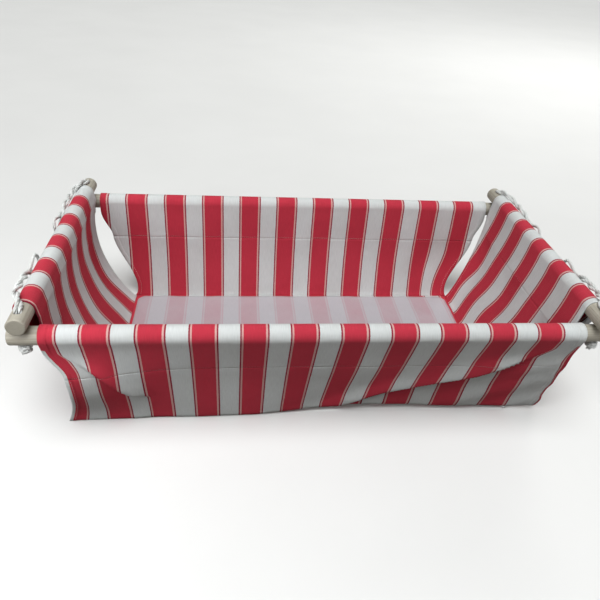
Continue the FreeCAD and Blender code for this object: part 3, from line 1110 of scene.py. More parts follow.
def stitch_piece(
    name: str, rows: Sequence[Array], outs: Sequence[Array], thread: bpy.types.Material
) -> bpy.types.Object:
    """A mesh of thread stitches that lie along rows of points.

    Args:
        name: The piece's name.
        rows: For each row, the points from one needle hole to the next.
        outs: For each row, the way out of the cloth.
        thread: The thread's finish.

    Returns:
        The piece.
    """
    points, faces = [], []
    hole, sides = 0.09, 6
    rings = ((0.04, 0.25), (0.22, 0.9), (0.5, 1.0), (0.78, 0.9), (0.96, 0.25))
    angles = [math.tau * side / sides for side in range(sides)]
    for row, out in zip(rows, outs):
        for first, second in zip(row[:-1], row[1:]):
            way = second - first
            across = unit(np.cross(way, out)) * STITCH_RADIUS
            up = unit(np.cross(across, way)) * STITCH_RADIUS
            faces += tube_faces(len(points), len(rings), sides)
            for share, full in rings:
                centre = first + way * (hole + (1 - 2 * hole) * share)
                points += [centre + full * (across * math.cos(turn) + up * math.sin(turn)) for turn in angles]
    piece = mesh_piece(name, np.array(points), faces)
    piece.data.materials.append(thread)
    return piece


def front_bow(along: Array) -> Array:
    """How far the front foot is drawn in along its length, as a share of the most."""
    places = (-0.42, -0.20, -0.10, -0.03, 0.04, 0.10, 0.20, 0.27, 0.42)
    return np.interp(along, places, (0.0, 0.0, 0.16, 0.52, 0.95, 1.0, 0.78, 0.58, 0.5))


@dataclass
class FrontWall(ClothWall):
    """The front wall, with a long slanting crease drawn from each upper corner.

    A crease is given as places along the rail with shares of the wall's depth, and its slope as a cosine.
    """

    hang_side: int = 1
    step: float = 0.0022
    sleeve_slack: float = 0.0003
    stitch_lie: float = 0.40
    right_crease: tuple = (
        (-0.10, 1.70), (0.03, 1.06), (0.087, 0.85), (0.119, 0.745), (0.209, 0.57),
        (0.266, 0.465), (0.331, 0.275), (0.383, 0.085), (0.42, 0.0),
    )
    right_slope: float = 0.885
    right_height: float = 0.0085
    left_crease: tuple = (
        (-0.42, 0.03), (-0.393, 0.122), (-0.362, 0.223), (-0.341, 0.328),
        (-0.315, 0.525), (-0.300, 0.62), (-0.275, 0.67), (-0.24, 0.69),
    )
    left_slope: float = 0.66
    left_height: float = 0.0065
    left_hidden: float = 0.008
    bulge: float = 0.020
    foot_up: float = 0.011
    foot_in: float = 0.013
    stripe_places: tuple = (-0.4135, -0.36, -0.22, -0.10, -0.034, 0.04, 0.117, 0.194, 0.28, 0.36)
    stripe_shift: tuple = (-0.011, -0.0045, -0.004, 0.001, 0.004, 0.006, 0.007, 0.0072, 0.007, 0.007)
    stripe_slant: tuple = (0.0, 0.0, 0.0, 0.001, 0.004, 0.0095, 0.017, 0.026, 0.031, 0.031)
    lower_places: tuple = (0.0, 0.149, 0.2335, 0.328, 0.42)
    lower_stripes: tuple = (0.071, 0.205, 0.283, 0.361, 0.437)

    def past(self, line: tuple, slope: float, along: Array, depth: Array) -> Array:
        """Distance below a crease, square to it.

        Args:
            line: The crease.
            slope: Cosine of the crease's slope.
            along: Places along the rail.
            depth: Places down the wall.

        Returns:
            The distances, negative above the crease.
        """
        places, shares = np.array(line).T
        return (depth / self.length - np.interp(along, places, shares)) * self.length * slope

    def past_creases(self, along: Array, depth: Array) -> tuple[Array, Array]:
        """Distances below the right and the left crease."""
        right = self.past(self.right_crease, self.right_slope, along, depth)
        return right, self.past(self.left_crease, self.left_slope, along, depth)

    @staticmethod
    def lip(gap: Array, reach: float) -> Array:
        """A rounded lip that drops to the layer under it.

        Args:
            gap: Distances below the crease.
            reach: How far above the crease the lip begins.

        Returns:
            Heights, as shares of the lip's.
        """
        over = np.exp(-((np.minimum(gap, 0) / reach) ** 2))
        return np.where(gap < 0, over, 1 - rise(gap, 0.0, 0.0035)) + 0.42 * rise(gap, 0.004, 0.054)

    def swell(self, along: Array, depth: Array) -> Array:
        """Soft swells between the creases, and ripples below the right one.

        Args:
            along: Places along the rail.
            depth: Places down the wall.

        Returns:
            How far they stand out.
        """
        fall = depth / self.length
        broad = 0.0016 * soft_noise(along, depth * 0.5, 0.09, 1.7)
        middle = 0.0022 * hill(along, -0.05, 0.16) * rise(fall, 0.35, 0.85)
        ripples = 0.0012 * np.sin((along * 0.7 + depth * 1.4) * 60)
        return broad + middle + ripples * hill(along, 0.30, 0.12) * rise(fall, 0.3, 0.6)

    def fold(self, along: Array, depth: Array) -> Array:
        """The two overlapping creases and the swells.

        Args:
            along: Places along the rail.
            depth: Places down the wall.

        Returns:
            How far they stand out.
        """
        fall = depth / self.length
        right, left = self.past_creases(along, depth)
        tall_right = self.right_height * rise(fall, 0.05, 0.35) * rise(fall, 1.12, 0.87)
        tall_left = self.left_height * rise(fall, 0.05, 0.30) * rise(along, -0.262, -0.307)
        creases = tall_right * self.lip(right, 0.026) + tall_left * self.lip(left, 0.02)
        return np.maximum(creases + self.swell(along, depth) * rise(fall, 0.12, 0.37), -0.0004)

    def belly(self, along: Array, depth: Array) -> Array:
        """Above the left crease the cloth stands out from the rail."""
        risen = rise(depth, 0.010, 0.095) * rise(depth, 0.200, 0.105)
        return self.bulge * risen * rise(along, -0.19, -0.40)

    def pull(self, share: Array, depth: Array) -> Array:
        """The left edge is drawn in below the rail, and the right edge ruffles.

        Args:
            share: Shares of half the width.
            depth: Places down the wall.

        Returns:
            The distances along the rail.
        """
        fall = depth / self.length
        drawn = np.sin(math.pi * np.clip(fall, 0, 1) ** 0.85) ** 0.9
        left = drawn * (0.010 * rise(share, -0.70, -1.0) + 0.015 * rise(share, -0.84, -1.0))
        long_wave = 0.0016 * np.sin(depth * math.tau / 0.061 + 0.6)
        short_wave = 0.0004 * np.sin(depth * math.tau / 0.027 + 2.0)
        return left + (long_wave + short_wave) * rise(share, 0.95, 1.0) * rise(fall, 0.3, 0.5)

    def hang_grid(self) -> tuple[Array, Array, Array, Array]:
        """The hanging part, with its foot drawn in and up along the middle.

        Returns:
            Its columns' shares of half the width, and its places along, down and out.
        """
        share, along, depth, out = super().hang_grid()
        drawn = front_bow(along) * ease(self.fall(depth))
        return share, along, depth - self.foot_up * drawn, out - self.foot_in * drawn

    def weft_place(self, along: Array, depth: Array, share: Array) -> Array:
        """The stripes slant in towards the middle and step where a crease hides some cloth.

        Args:
            along: Places along the rail.
            depth: Places down the wall.
            share: Shares of half the width.

        Returns:
            Places across the cut cloth.
        """
        fall = depth / self.length
        half = self.top_width / 2
        right, left = self.past_creases(along, depth)
        shift = np.interp(along, self.stripe_places, self.stripe_shift)
        slant = np.interp(along, self.stripe_places, self.stripe_slant)
        above = share * half + shift + slant * np.clip(fall / 0.75, 0, 1.2) ** 2
        below = np.interp(along, self.lower_places, self.lower_stripes)
        lower = rise(right, 0.0, 0.003) * rise(fall, 0.10, 0.25) * rise(along, 0.0, 0.04)
        across = above + (below - above) * lower
        across = across - self.left_hidden * rise(left, 0.0, 0.003) * rise(along, -0.255, -0.315)
        across = np.minimum(across, half - 0.0004)
        strip = 0.005 + 0.009 * hill(fall, 0.30, 0.16)
        from_right = half * (1 - share)
        edge = half + 0.0005 + 0.016 * (1 - from_right / strip)
        below_rail = fall > 0.08
        across = np.where((from_right < strip) & below_rail, edge, across)
        return np.where((half * (1 + share) < 0.0055) & below_rail, -half - 0.042, across)


@dataclass
class BackWall(ClothWall):
    """The back wall, drawn in at its foot to the base.

    Each of its ridges has a place along the rail and a height as a share.
    """

    step: float = 0.005
    ridges: tuple = ((-0.30, 0.35), (0.02, 0.30), (0.19, 0.25), (0.30, 0.9), (0.365, 0.6))
    ridge_height: float = 0.0055
    ridge_width: float = 0.035
    looseness: float = 0.0030
    left_pull: float = 0.021
    right_pull: float = 0.018
    stripe_bend: float = 0.022

    def fold(self, along: Array, depth: Array) -> Array:
        """Soft upright folds, deepest where the lower right corner is drawn in.

        Args:
            along: Places along the rail.
            depth: Places down the wall.

        Returns:
            How far they stand out.
        """
        fall = self.fall(depth)
        inward = 1 - 0.12 * fall
        swell = sum(tall * hill(along, middle * inward, self.ridge_width) for middle, tall in self.ridges)
        loose = slack_noise(along, depth * 0.4, 0.07, 5.3)
        return (self.ridge_height * swell + self.looseness * loose) * np.sin(math.pi * fall) ** 0.8

    def pull(self, share: Array, depth: Array) -> Array:
        """Both side edges are drawn in below the rail."""
        most = np.where(share < 0, self.left_pull, self.right_pull)
        drawn = most * np.sin(math.pi * np.clip(depth / self.length, 0, 1)) ** 0.7
        return -np.sign(share) * drawn * rise(np.abs(share), 0.86, 1.0)

    def weft_place(self, along: Array, depth: Array, share: Array) -> Array:
        """The stripes hang straight, and bend in only beside the lower right corner."""
        return along + self.stripe_bend * rise(depth / self.length, 0.45, 0.95) * rise(along, 0.27, 0.33)


@dataclass
class EndWall(ClothWall):
    """A wall on a short rail, whose cloth waves as it falls.

    Each of its ridges has a place along the rail, a height as a share, and how far it leans as it falls.
    """

    sleeve_slack: float = 0.0008
    stitch_lie: float = 0.40
    seed: float = 0.0
    wave: float = 0.004
    slant: float = 0.0
    hem_place: float = -1.0
    pushed_out: tuple = (0.0, 0.0, 0.0)
    ridges: tuple = ()
    ridge_height: float = 0.0075
    ridge_width: float = 0.030
    looseness: float = 0.0030
    edge_pull: float = 0.011

    def fold(self, along: Array, depth: Array) -> Array:
        """Upright folds that lean a little as they fall.

        Args:
            along: Places along the rail.
            depth: Places down the wall.

        Returns:
            How far they stand out.
        """
        fall = self.fall(depth)
        swell = sum(
            tall * hill(along + lean * fall, middle, self.ridge_width) for middle, tall, lean in self.ridges
        )
        loose = slack_noise(along, depth * 0.6, 0.06, self.seed)
        return (self.ridge_height * swell + self.looseness * loose) * np.sin(math.pi * fall) ** 0.7

    def belly(self, along: Array, depth: Array) -> Array:
        """The push out, given at the front, middle and back, is most about two fifths of the way down."""
        fall = np.clip((depth - 0.020) / (self.length - 0.020), 0, 1)
        return np.interp(along, (-0.2, 0.0, 0.2), self.pushed_out) * np.sin(math.pi * fall ** 0.8)

    def sway(self, fall: Array) -> Array:
        """A slow wave to the side on the way down."""
        return self.wave * np.sin(math.tau * (fall * 1.05 + 0.1 * self.seed)) * np.sin(math.pi * fall)

    def drift(self, share: Array, fall: Array) -> Array:
        """Draw the foot in, with the wave on the way down."""
        return super().drift(share, fall) + self.sway(fall) * (1 - np.abs(share) ** 3)

    def pull(self, share: Array, depth: Array) -> Array:
        """Both side edges are drawn in below the rail."""
        drawn = self.edge_pull * np.sin(math.pi * np.clip(depth / self.length, 0, 1)) ** 0.8
        return -np.sign(share) * drawn * rise(np.abs(share), 0.72, 1.0)

    def weft_place(self, along: Array, depth: Array, share: Array) -> Array:
        """The stripes sway with the cloth, and slant back as they fall."""
        slanted = self.slant * rise(depth / self.length, 0.05, 0.80)
        return np.maximum(slanted + self.sway(self.fall(depth)) - along, self.hem_place)


@dataclass
class CradleBase:
    """The cloth base and the thin cotton liner on it."""

    canvas: bpy.types.Material
    liner: bpy.types.Material
    thread: bpy.types.Material
    length: float = 0.7088
    width: float = 0.3650
    under: float = -0.22415
    cloth: float = CLOTH_THICKNESS
    corner: float = 0.001
    step: float = 0.008
    liner_length: float = 0.6970
    liner_width: float = 0.3530
    liner_cloth: float = 0.0008
    liner_corner: float = 0.012
    liner_step: float = 0.005
    front_in: float = 0.0108
    front_up: float = 0.0132
    stitch_inset: float = 0.0035

    def follow_front(self, x: Array, y: Array, z: Array) -> Array:
        """Draw points in and up along the front edge, as the front wall's foot is.

        Args:
            x: Places along the base.
            y: Places across it.
            z: Heights.

        Returns:
            The points.
        """
        near = rise(y, -0.09, -0.18)
        bow = front_bow(x) * near
        return np.stack((x, y + self.front_in * bow, z + self.front_up * bow * near), axis=-1)

    def laid(
        self, name: str, length: float, width: float, height: Callable[[Array, Array], Array], corner: float,
        step: float,
    ) -> bpy.types.Object:
        """A flat sheet with rounded corners.

        Args:
            name: The piece's name.
            length: Size along x.
            width: Size along y.
            height: Height of the sheet's middle at each place.
            corner: Radius of the corners.
            step: Distance between points.

        Returns:
            The piece.
        """
        shares_x, shares_y = (np.linspace(-1, 1, int(size / step) + 1) for size in (length, width))
        x, y = np.meshgrid(shares_x, shares_y)
        near_x, near_y = length / 2 * (1 - np.abs(x)), width / 2 * (1 - np.abs(y))
        cut = 0.45 * np.maximum(0, corner - near_x) * np.maximum(0, corner - near_y) / corner
        x, y = x * length / 2 - np.sign(x) * cut, y * width / 2 - np.sign(y) * cut
        points = self.follow_front(x, y, height(x, y))
        return mesh_piece(name, points, grid_faces(*x.shape), np.stack((x, y), axis=-1))

    def base_height(self, x: Array, y: Array) -> Array:
        """Height of the base cloth's middle."""
        return np.full(x.shape, self.under + self.cloth / 2)

    def liner_height(self, x: Array, y: Array) -> Array:
        """Height of the liner's middle, which ripples where it isn't pressed flat.

        Args:
            x: Places along the base.
            y: Places across it.

        Returns:
            The heights.
        """
        lowest = self.under + self.cloth + self.liner_cloth / 2 + 0.0002
        broad = np.maximum(0, soft_noise(x, y * 1.4, 0.11, 8.2))
        fine = np.maximum(0, soft_noise(x * 1.2 + y * 0.5, y - x * 0.3, 0.045, 2.6))
        return lowest + 0.0034 * broad + 0.0022 * fine

    def build_base(self) -> bpy.types.Object:
        """The base cloth.

        Returns:
            The piece.
        """
        base = self.laid("base_cloth", self.length, self.width, self.base_height, self.corner, self.step)
        base.data.materials.append(self.canvas)
        add_thickness(base, self.cloth)
        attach(base, "base")
        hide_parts("base_panel")
        return base

    def build_liner(self) -> bpy.types.Object:
        """The liner on the base.

        Returns:
            The piece.
        """
        sizes = (self.liner_length, self.liner_width)
        liner = self.laid("liner_sheet", *sizes, self.liner_height, self.liner_corner, self.liner_step)
        liner.data.materials.append(self.liner)
        add_thickness(liner, self.liner_cloth)
        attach(liner, "base")
        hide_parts("base_liner")
        return liner

    def build_stitches(self) -> bpy.types.Object:
        """Stitches along the base's four edges, on the underside.

        Returns:
            The piece.
        """
        end_gap, sunk = 0.006, 0.0002
        half_x, half_y = self.length / 2, self.width / 2
        rows = []
        for way_x, way_y in ((1, 0), (-1, 0), (0, 1), (0, -1)):
            run = (half_y if way_x else half_x) - end_gap
            line = np.linspace(-run, run, int(2 * run / STITCH_LENGTH))
            x = 0 * line + way_x * (half_x - self.stitch_inset) if way_x else line
            y = line if way_x else 0 * line + way_y * (half_y - self.stitch_inset)
            rows.append(self.follow_front(x, y, np.full(len(line), self.under + sunk)))
        seams = stitch_piece("base_edge_stitches", rows, [-UP] * 4, self.thread)
        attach(seams, "base")
        return seams

    def build(self) -> None:
        """Build the base, the liner and the edge stitching."""
        for piece in (self.build_base(), self.build_liner(), self.build_stitches()):
            log.info("%s: %d points", piece.name, len(piece.data.vertices))


# Rope

class Corner(Enum):
    """The four corners of the rail frame: the way out along x, and the way in along y."""

    FRONT_LEFT = (-1, 1)
    BACK_LEFT = (-1, -1)
    FRONT_RIGHT = (1, 1)
    BACK_RIGHT = (1, -1)

    @property
    def label(self) -> str:
        """The corner's name in the record."""
        return self.name.lower()


@dataclass
class LaidRope:
    """Three strands laid together round a line.

    Three touching strands of radius 1 fill a circle of diameter 4.31. They are a little thicker here,
    because they press into each other.
    """

    diameter: float = 0.0056
    lay: float = 0.021
    sides: int = 9
    strand_count: int = 3
    filled: float = 4.31
    pressed: float = 1.08
    fray_length: float = 0.007

    def line(self, name: str, points: Sequence[Array]) -> Array:
        """Points of the smooth line that has the given points as its control points.

        Args:
            name: A name for the passing curve.
            points: The route's points.

        Returns:
            The points of the line.
        """
        curve = bpy.data.curves.new(name, "CURVE")
        curve.dimensions = "3D"
        spline = curve.splines.new("NURBS")
        spline.points.add(len(points) - 1)
        for target, point in zip(spline.points, points):
            target.co = (*point, 1.0)
        spline.order_u = 3
        spline.use_endpoint_u = True
        spline.resolution_u = 10
        holder = bpy.data.objects.new(name, curve)
        mesh = bpy.data.meshes.new_from_object(holder)
        line = np.array([vertex.co[:] for vertex in mesh.vertices])
        bpy.data.objects.remove(holder)
        bpy.data.meshes.remove(mesh)
        bpy.data.curves.remove(curve)
        keep = np.concatenate(([True], np.linalg.norm(np.diff(line, axis=0), axis=1) > 1e-6))
        return line[keep]

    @staticmethod
    def side_ways(way: Array) -> tuple[Array, Array]:
        """Two ways square to a line and to each other, which don't twist along it.

        Args:
            way: The line's direction at each point.

        Returns:
            The two ways at each point.
        """
        side = unit(np.cross(way[0], (0.31, 0.57, 0.76)))
        sides = [side]
        for direction in way[1:]:
            side = unit(side - direction * np.dot(side, direction))
            sides.append(side)
        return np.array(sides), np.cross(way, sides)

    def strands(self, line: Array, fray: float = 0.0) -> tuple[list[Array], Array]:
        """Rings of the strands along a line.

        Args:
            line: The line's points.
            fray: How far the strands spread at the line's end.

        Returns:
            For each strand its rings, and the distance along the line at each ring.
        """
        run = run_along(line)
        sides, ups = self.side_ways(unit(np.gradient(line, axis=0)))
        thin = self.diameter / self.filled
        swing = thin * 2 / math.sqrt(3)
        spread = swing + fray * rise(run, run[-1] - self.fray_length, run[-1])
        angles = math.tau * np.arange(self.sides) / self.sides
        cosines, sines = np.cos(angles)[None, :, None], np.sin(angles)[None, :, None]
        made = []
        for strand in range(self.strand_count):
            turn = math.tau * (run / self.lay + strand / self.strand_count)
            swung = sides * np.cos(turn)[:, None] + ups * np.sin(turn)[:, None]
            centre = line + swung * spread[:, None]
            outward = unit(centre - line)
            across = unit(np.cross(unit(np.gradient(centre, axis=0)), outward))
            ring = outward[:, None, :] * cosines + across[:, None, :] * sines
            made.append(centre[:, None, :] + thin * self.pressed * ring)
        return made, run

    def piece(
        self, name: str, tubes: Sequence[tuple[Array, Array]], rope: bpy.types.Material
    ) -> bpy.types.Object:
        """A mesh of tubes with closed ends.

        Args:
            name: The piece's name.
            tubes: Each tube's rings and the distance along it at each ring.
            rope: The rope's finish.

        Returns:
            The piece.
        """
        points, faces, coords = [], [], []
        start = 0
        for rings, run in tubes:
            shape = rings.shape[:2]
            count = shape[1]
            numbers = np.arange(count)
            around = np.broadcast_to(np.minimum(numbers, count - numbers) / count, shape)
            along = np.broadcast_to(run[:, None], shape)
            points.append(rings.reshape(-1, 3))
            coords.append(np.stack((along, around), axis=-1).reshape(-1, 2))
            faces += tube_faces(start, len(rings), count)
            start += len(points[-1])
        made = mesh_piece(name, np.concatenate(points), faces, np.concatenate(coords))
        made.data.materials.append(rope)
        return made


@dataclass
class Sling:
    """A doubled rope that comes up through the crossed rails and lies along the short one, twisted.

    It ends in an eye, and under the rails in a knot.
    """

    corner: Corner
    finish: bpy.types.Material
    rope: LaidRope
    hole_x: float = SHORT_RAIL_X
    hole_y: float = LONG_RAIL_Y
    hinge_z: float = 0.03145
    start: float = 0.0066
    pair: float = 0.126
    half_twist: float = 0.0252
    offset: float = 0.00315
    low_radius: float = 0.0173
    high_radius: float = 0.02245
    side_angle: float = math.radians(55)
    eye_angle: float = math.radians(95)
    eye_radius: float = 0.0126
    eye_neck: float = 0.027
    eye_sweep: float = math.pi * 0.64
    length: float = 0.3677
    steps: int = 20
    eye_points: int = 5
    mouth_points: tuple = ((0.0, -0.016), (0.0, -0.0075), (0.0008, -0.0005))
    wraps: int = 2
    wrap_radius: float = 0.00728
    wrap_pitch: float = 0.00515
    wrap_points: int = 12
    wrap_lift: float = 0.0026
    tail_fray: float = 0.0009

    def hinge(self) -> Array:
        """The mouth of the hole, where the rope turns over."""
        outward, inward = self.corner.value
        return np.array((outward * self.hole_x, -inward * self.hole_y, self.hinge_z))

    def angle(self, run: float) -> float:
        """How far round the rail the pair lies: on top at the hole, then on its side, and lowest at the eye.

        Args:
            run: Distance along the pair.

        Returns:
            The angle from the top of the rail.
        """
        share = run / self.pair
        further = self.eye_angle - self.side_angle
        return self.side_angle * rise(share, 0.0, 0.4) + further * rise(share, 0.62, 1.0)

    def middle(self, run: float) -> Array:
        """The middle of the twisted pair, measured from the hinge.

        Args:
            run: Distance along the pair.

        Returns:
            The point.
        """
        outward, inward = self.corner.value
        angle = self.angle(run)
        lifted = rise(run / self.pair, 0.0, 0.15)
        radius = self.low_radius + (self.high_radius - self.low_radius) * lifted
        away = np.array((outward * math.sin(angle), 0, math.cos(angle)))
        return np.array((0, inward * (self.start + run), 0)) + away * radius - UP * self.low_radius

    def axes(self, run: float) -> tuple[Array, Array, Array]:
        """The directions of the pair.

        Args:
            run: Distance along the pair.

        Returns:
            The ways ahead, round the rail and away from it.
        """
        outward, inward = self.corner.value
        angle = self.angle(run)
        small = self.offset * 0.2
        ahead = unit(self.middle(run + small) - self.middle(run - small))
        round_rail = np.array((outward * math.cos(angle), 0, -math.sin(angle)))
        around = unit(round_rail - ahead * np.dot(round_rail, ahead))
        return ahead, around, np.cross(ahead, around) * (-outward * inward)

    def leg(self, run: float, sign: int) -> Array:
        """A point of one leg of the pair.

        Args:
            run: Distance along the pair.
            sign: Which leg, 1 or -1.

        Returns:
            The point, measured from the hinge.
        """
        turn = math.pi * run / self.half_twist
        _, around, away = self.axes(run)
        return self.middle(run) + (around * math.cos(turn) + away * math.sin(turn)) * (sign * self.offset)

    def route(self) -> list[Array]:
        """The rope's points from the hole, round the eye and back.

        Returns:
            The points.
        """
        _, inward = self.corner.value
        runs = [self.pair * step / self.steps for step in range(self.steps + 1)]
        ahead, around, _ = self.axes(self.pair)
        centre = self.middle(self.pair) + np.array((0, inward, 0)) * self.eye_neck
        eye = []
        for step in range(self.eye_points):
            angle = self.eye_sweep * (1 - 2 * step / (self.eye_points - 1))
            eye.append(centre + (ahead * math.cos(angle) - around * math.sin(angle)) * self.eye_radius)
        points = [self.leg(run, 1) for run in runs] + eye + [self.leg(run, -1) for run in reversed(runs)]
        return [self.hinge() + point for point in points]

    def mouth(self, sign: int) -> list[Array]:
        """A leg's points from inside the hole up to where the pair starts.

        Args:
            sign: Which leg, 1 or -1.

        Returns:
            The points.
        """
        _, inward = self.corner.value
        _, around, _ = self.axes(0.0)
        foot = self.hinge() + around * sign * self.offset
        return [foot + np.array((0, inward * y, z)) for y, z in self.mouth_points]

    def build_rope(self) -> None:
        """The sling itself, and the two stubs that turn over at the hole."""
        name = f"{self.corner.label}_sling"
        line = self.rope.line(name, self.mouth(1) + self.route() + self.mouth(-1)[::-1])
        _, inward = self.corner.value
        past = (line[:, 1] - self.hinge()[1]) * inward >= self.start - 0.0005
        first = int(np.argmax(past))
        last = len(past) - int(np.argmax(past[::-1]))
        strands, run = self.rope.strands(line)
        free = [(ring[first:last], run[first:last]) for ring in strands]
        rope = self.rope.piece(f"{name}_rope", free, self.finish)
        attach(rope, name)
        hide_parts(name)
        stubs = [(ring[: first + 1], run[: first + 1]) for ring in strands]
        stubs += [(ring[last - 1:], run[last - 1:]) for ring in strands]
        stub = self.rope.piece(f"{self.corner.label}_mouth_rope", stubs, self.finish)
        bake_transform(stub)
        log.info("%s: rope of %.0f mm", rope.name, 1000 * float(run[last - 1] - run[first]))

    def build_knot(self) -> None:
        """The stopper knot under the long rail: turns of rope round two frayed tails."""
        foot = self.hinge() - UP * (2 * self.hinge_z)
        turns = []
        for step in range(self.wrap_points * self.wraps + 1):
            angle = math.tau * step / self.wrap_points
            aside = np.array((math.cos(angle), math.sin(angle), 0)) * self.wrap_radius
            turns.append(foot + aside + UP * (self.wrap_lift - self.wrap_pitch * angle / math.tau))
        strands, run = self.rope.strands(self.rope.line("wraps", turns))
        tubes = [(ring, run) for ring in strands]
        for sign in (-1, 1):
            places = [(0.0026 * sign, 0.0006 * sign * step, 0.012 - 0.0055 * step) for step in range(5)]
            places.append((0.0036 * sign, 0.0034 * sign, -0.0128 + 0.0006 * sign))
            tail = [foot + np.array(place) for place in places]
            strands, run = self.rope.strands(self.rope.line("tail", tail), fray=self.tail_fray)
            tubes += [(ring, run) for ring in strands]
        knot = self.rope.piece(f"{self.corner.label}_knot_rope", tubes, self.finish)
        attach(knot, "frame")
        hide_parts(f"{self.corner.label}_knot")
        log.info("%s: %d points", knot.name, len(knot.data.vertices))

    def build(self) -> None:
        """Build the sling and its knot."""
        self.build_rope()
        self.build_knot()


# Rails, cradle and studio

@dataclass
class RailFrame:
    """The four wooden rails, kept from the solid model and given their wood."""

    long_y: float = LONG_RAIL_Y
    short_x: float = SHORT_RAIL_X
    axis_z: float = RAIL_AXIS_Z

    def dress(self, effects: SharedEffects) -> None:
        """Give each rail its own length of wood.

        Args:
            effects: The shared effects.
        """
        long_way, short_way = Vector((1, 0, 0)), Vector((0, 1, 0))
        places = {
            "front_rail": (long_way, Vector((0, -self.long_y, -self.axis_z))),
            "back_rail": (long_way, Vector((0, self.long_y, -self.axis_z))),
            "left_rail": (short_way, Vector((-self.short_x, 0, self.axis_z))),
            "right_rail": (short_way, Vector((self.short_x, 0, self.axis_z))),
        }
        for number, (name, (along, centre)) in enumerate(places.items()):
            wood = WoodFinish(f"{name}_wood", along, centre, seed=3.7 * number + 1.3).material(effects)
            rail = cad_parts[name]
            for slot in rail.material_slots:
                slot.material = wood
            if not rail.material_slots:
                rail.data.materials.append(wood)
            log.info("%s: dressed", name)


@dataclass
class Cradle:
    """The four cloth walls, the base and the liner.

    A lean is given as how far the wall comes in and how far it comes down. The first red is where a red band
    starts across the cloth.
    """

    long_width: float = 0.827
    long_length: float = 0.21344
    long_lean: tuple = (0.039, 0.210)
    front_foot: float = 0.824
    back_foot: float = 0.712
    end_width: float = 0.400
    end_length: float = 0.25142
    end_lean: tuple = (0.081, 0.2383)
    end_foot: float = 0.360
    long_first_red: float = -0.3581
    left_first_red: float = -0.1509
    right_first_red: float = -0.1621
    left_ridges: tuple = ((-0.13, 0.8, 0.0), (0.02, 0.6, 0.01), (0.132, 1.0, -0.015))
    left_pushed_out: tuple = (0.006, 0.017, 0.020)
    left_hem_place: float = -0.1885
    right_ridges: tuple = ((-0.136, 1.0, 0.02), (0.0, 0.75, -0.02), (0.14, 0.85, 0.012))
    right_wave: float = 0.005
    right_slant: float = 0.026

    def long_walls(self, canvas: bpy.types.Material, thread: bpy.types.Material) -> tuple[ClothWall, ...]:
        """The front and the back wall.

        Args:
            canvas: Their cloth.
            thread: Their thread.

        Returns:
            The walls.
        """
        shared = dict(
            rail_distance=LONG_RAIL_Y, rail_height=-RAIL_AXIS_Z, lean=math.atan2(*self.long_lean),
            length=self.long_length, top_width=self.long_width, canvas=canvas, thread=thread,
        )
        front = FrontWall(side=Side.FRONT, foot_width=self.front_foot, **shared)
        return front, BackWall(side=Side.BACK, foot_width=self.back_foot, **shared)

    def end_walls(self, effects: SharedEffects, thread: bpy.types.Material) -> tuple[ClothWall, ...]:
        """The left and the right wall.

        Args:
            effects: The shared effects.
            thread: Their thread.

        Returns:
            The walls.
        """
        shared = dict(
            rail_distance=SHORT_RAIL_X, rail_height=RAIL_AXIS_Z, lean=math.atan2(*self.end_lean),
            length=self.end_length, top_width=self.end_width, foot_width=self.end_foot, thread=thread,
        )
        left_canvas = CanvasFinish("left_canvas", self.left_first_red).material(effects)
        left = EndWall(
            side=Side.LEFT, canvas=left_canvas, seed=1.4, hem_place=self.left_hem_place,
            pushed_out=self.left_pushed_out, ridges=self.left_ridges, **shared,
        )
        right_canvas = CanvasFinish("right_canvas", self.right_first_red).material(effects)
        right = EndWall(
            side=Side.RIGHT, canvas=right_canvas, seed=4.2, wave=self.right_wave, slant=self.right_slant,
            ridges=self.right_ridges, **shared,
        )
        return left, right

    def build(self, effects: SharedEffects) -> None:
        """Build the walls, the base and the liner.

        Args:
            effects: The shared effects.
        """
        thread = ThreadFinish().material(effects)
        canvas = CanvasFinish("long_canvas", self.long_first_red).material(effects)
        for wall in (*self.long_walls(canvas, thread), *self.end_walls(effects, thread)):
            wall.build()
        liner = LinerFinish("liner_cotton", self.long_first_red).material(effects)
        CradleBase(canvas, liner, thread).build()


@dataclass(frozen=True)
class Lamp:
    """A soft round light, with its place and radius in metres and its power in watts."""

    name: str
    place: tuple
    radius: float
    power: float
    colour: Colour

    def build(self) -> None:
        """Add the light."""
        light = bpy.data.lights.new(self.name, "POINT")
        light.shadow_soft_size = self.radius
        light.energy = self.power
        light.color = self.colour
        put_in_scene(self.name, light).location = self.place


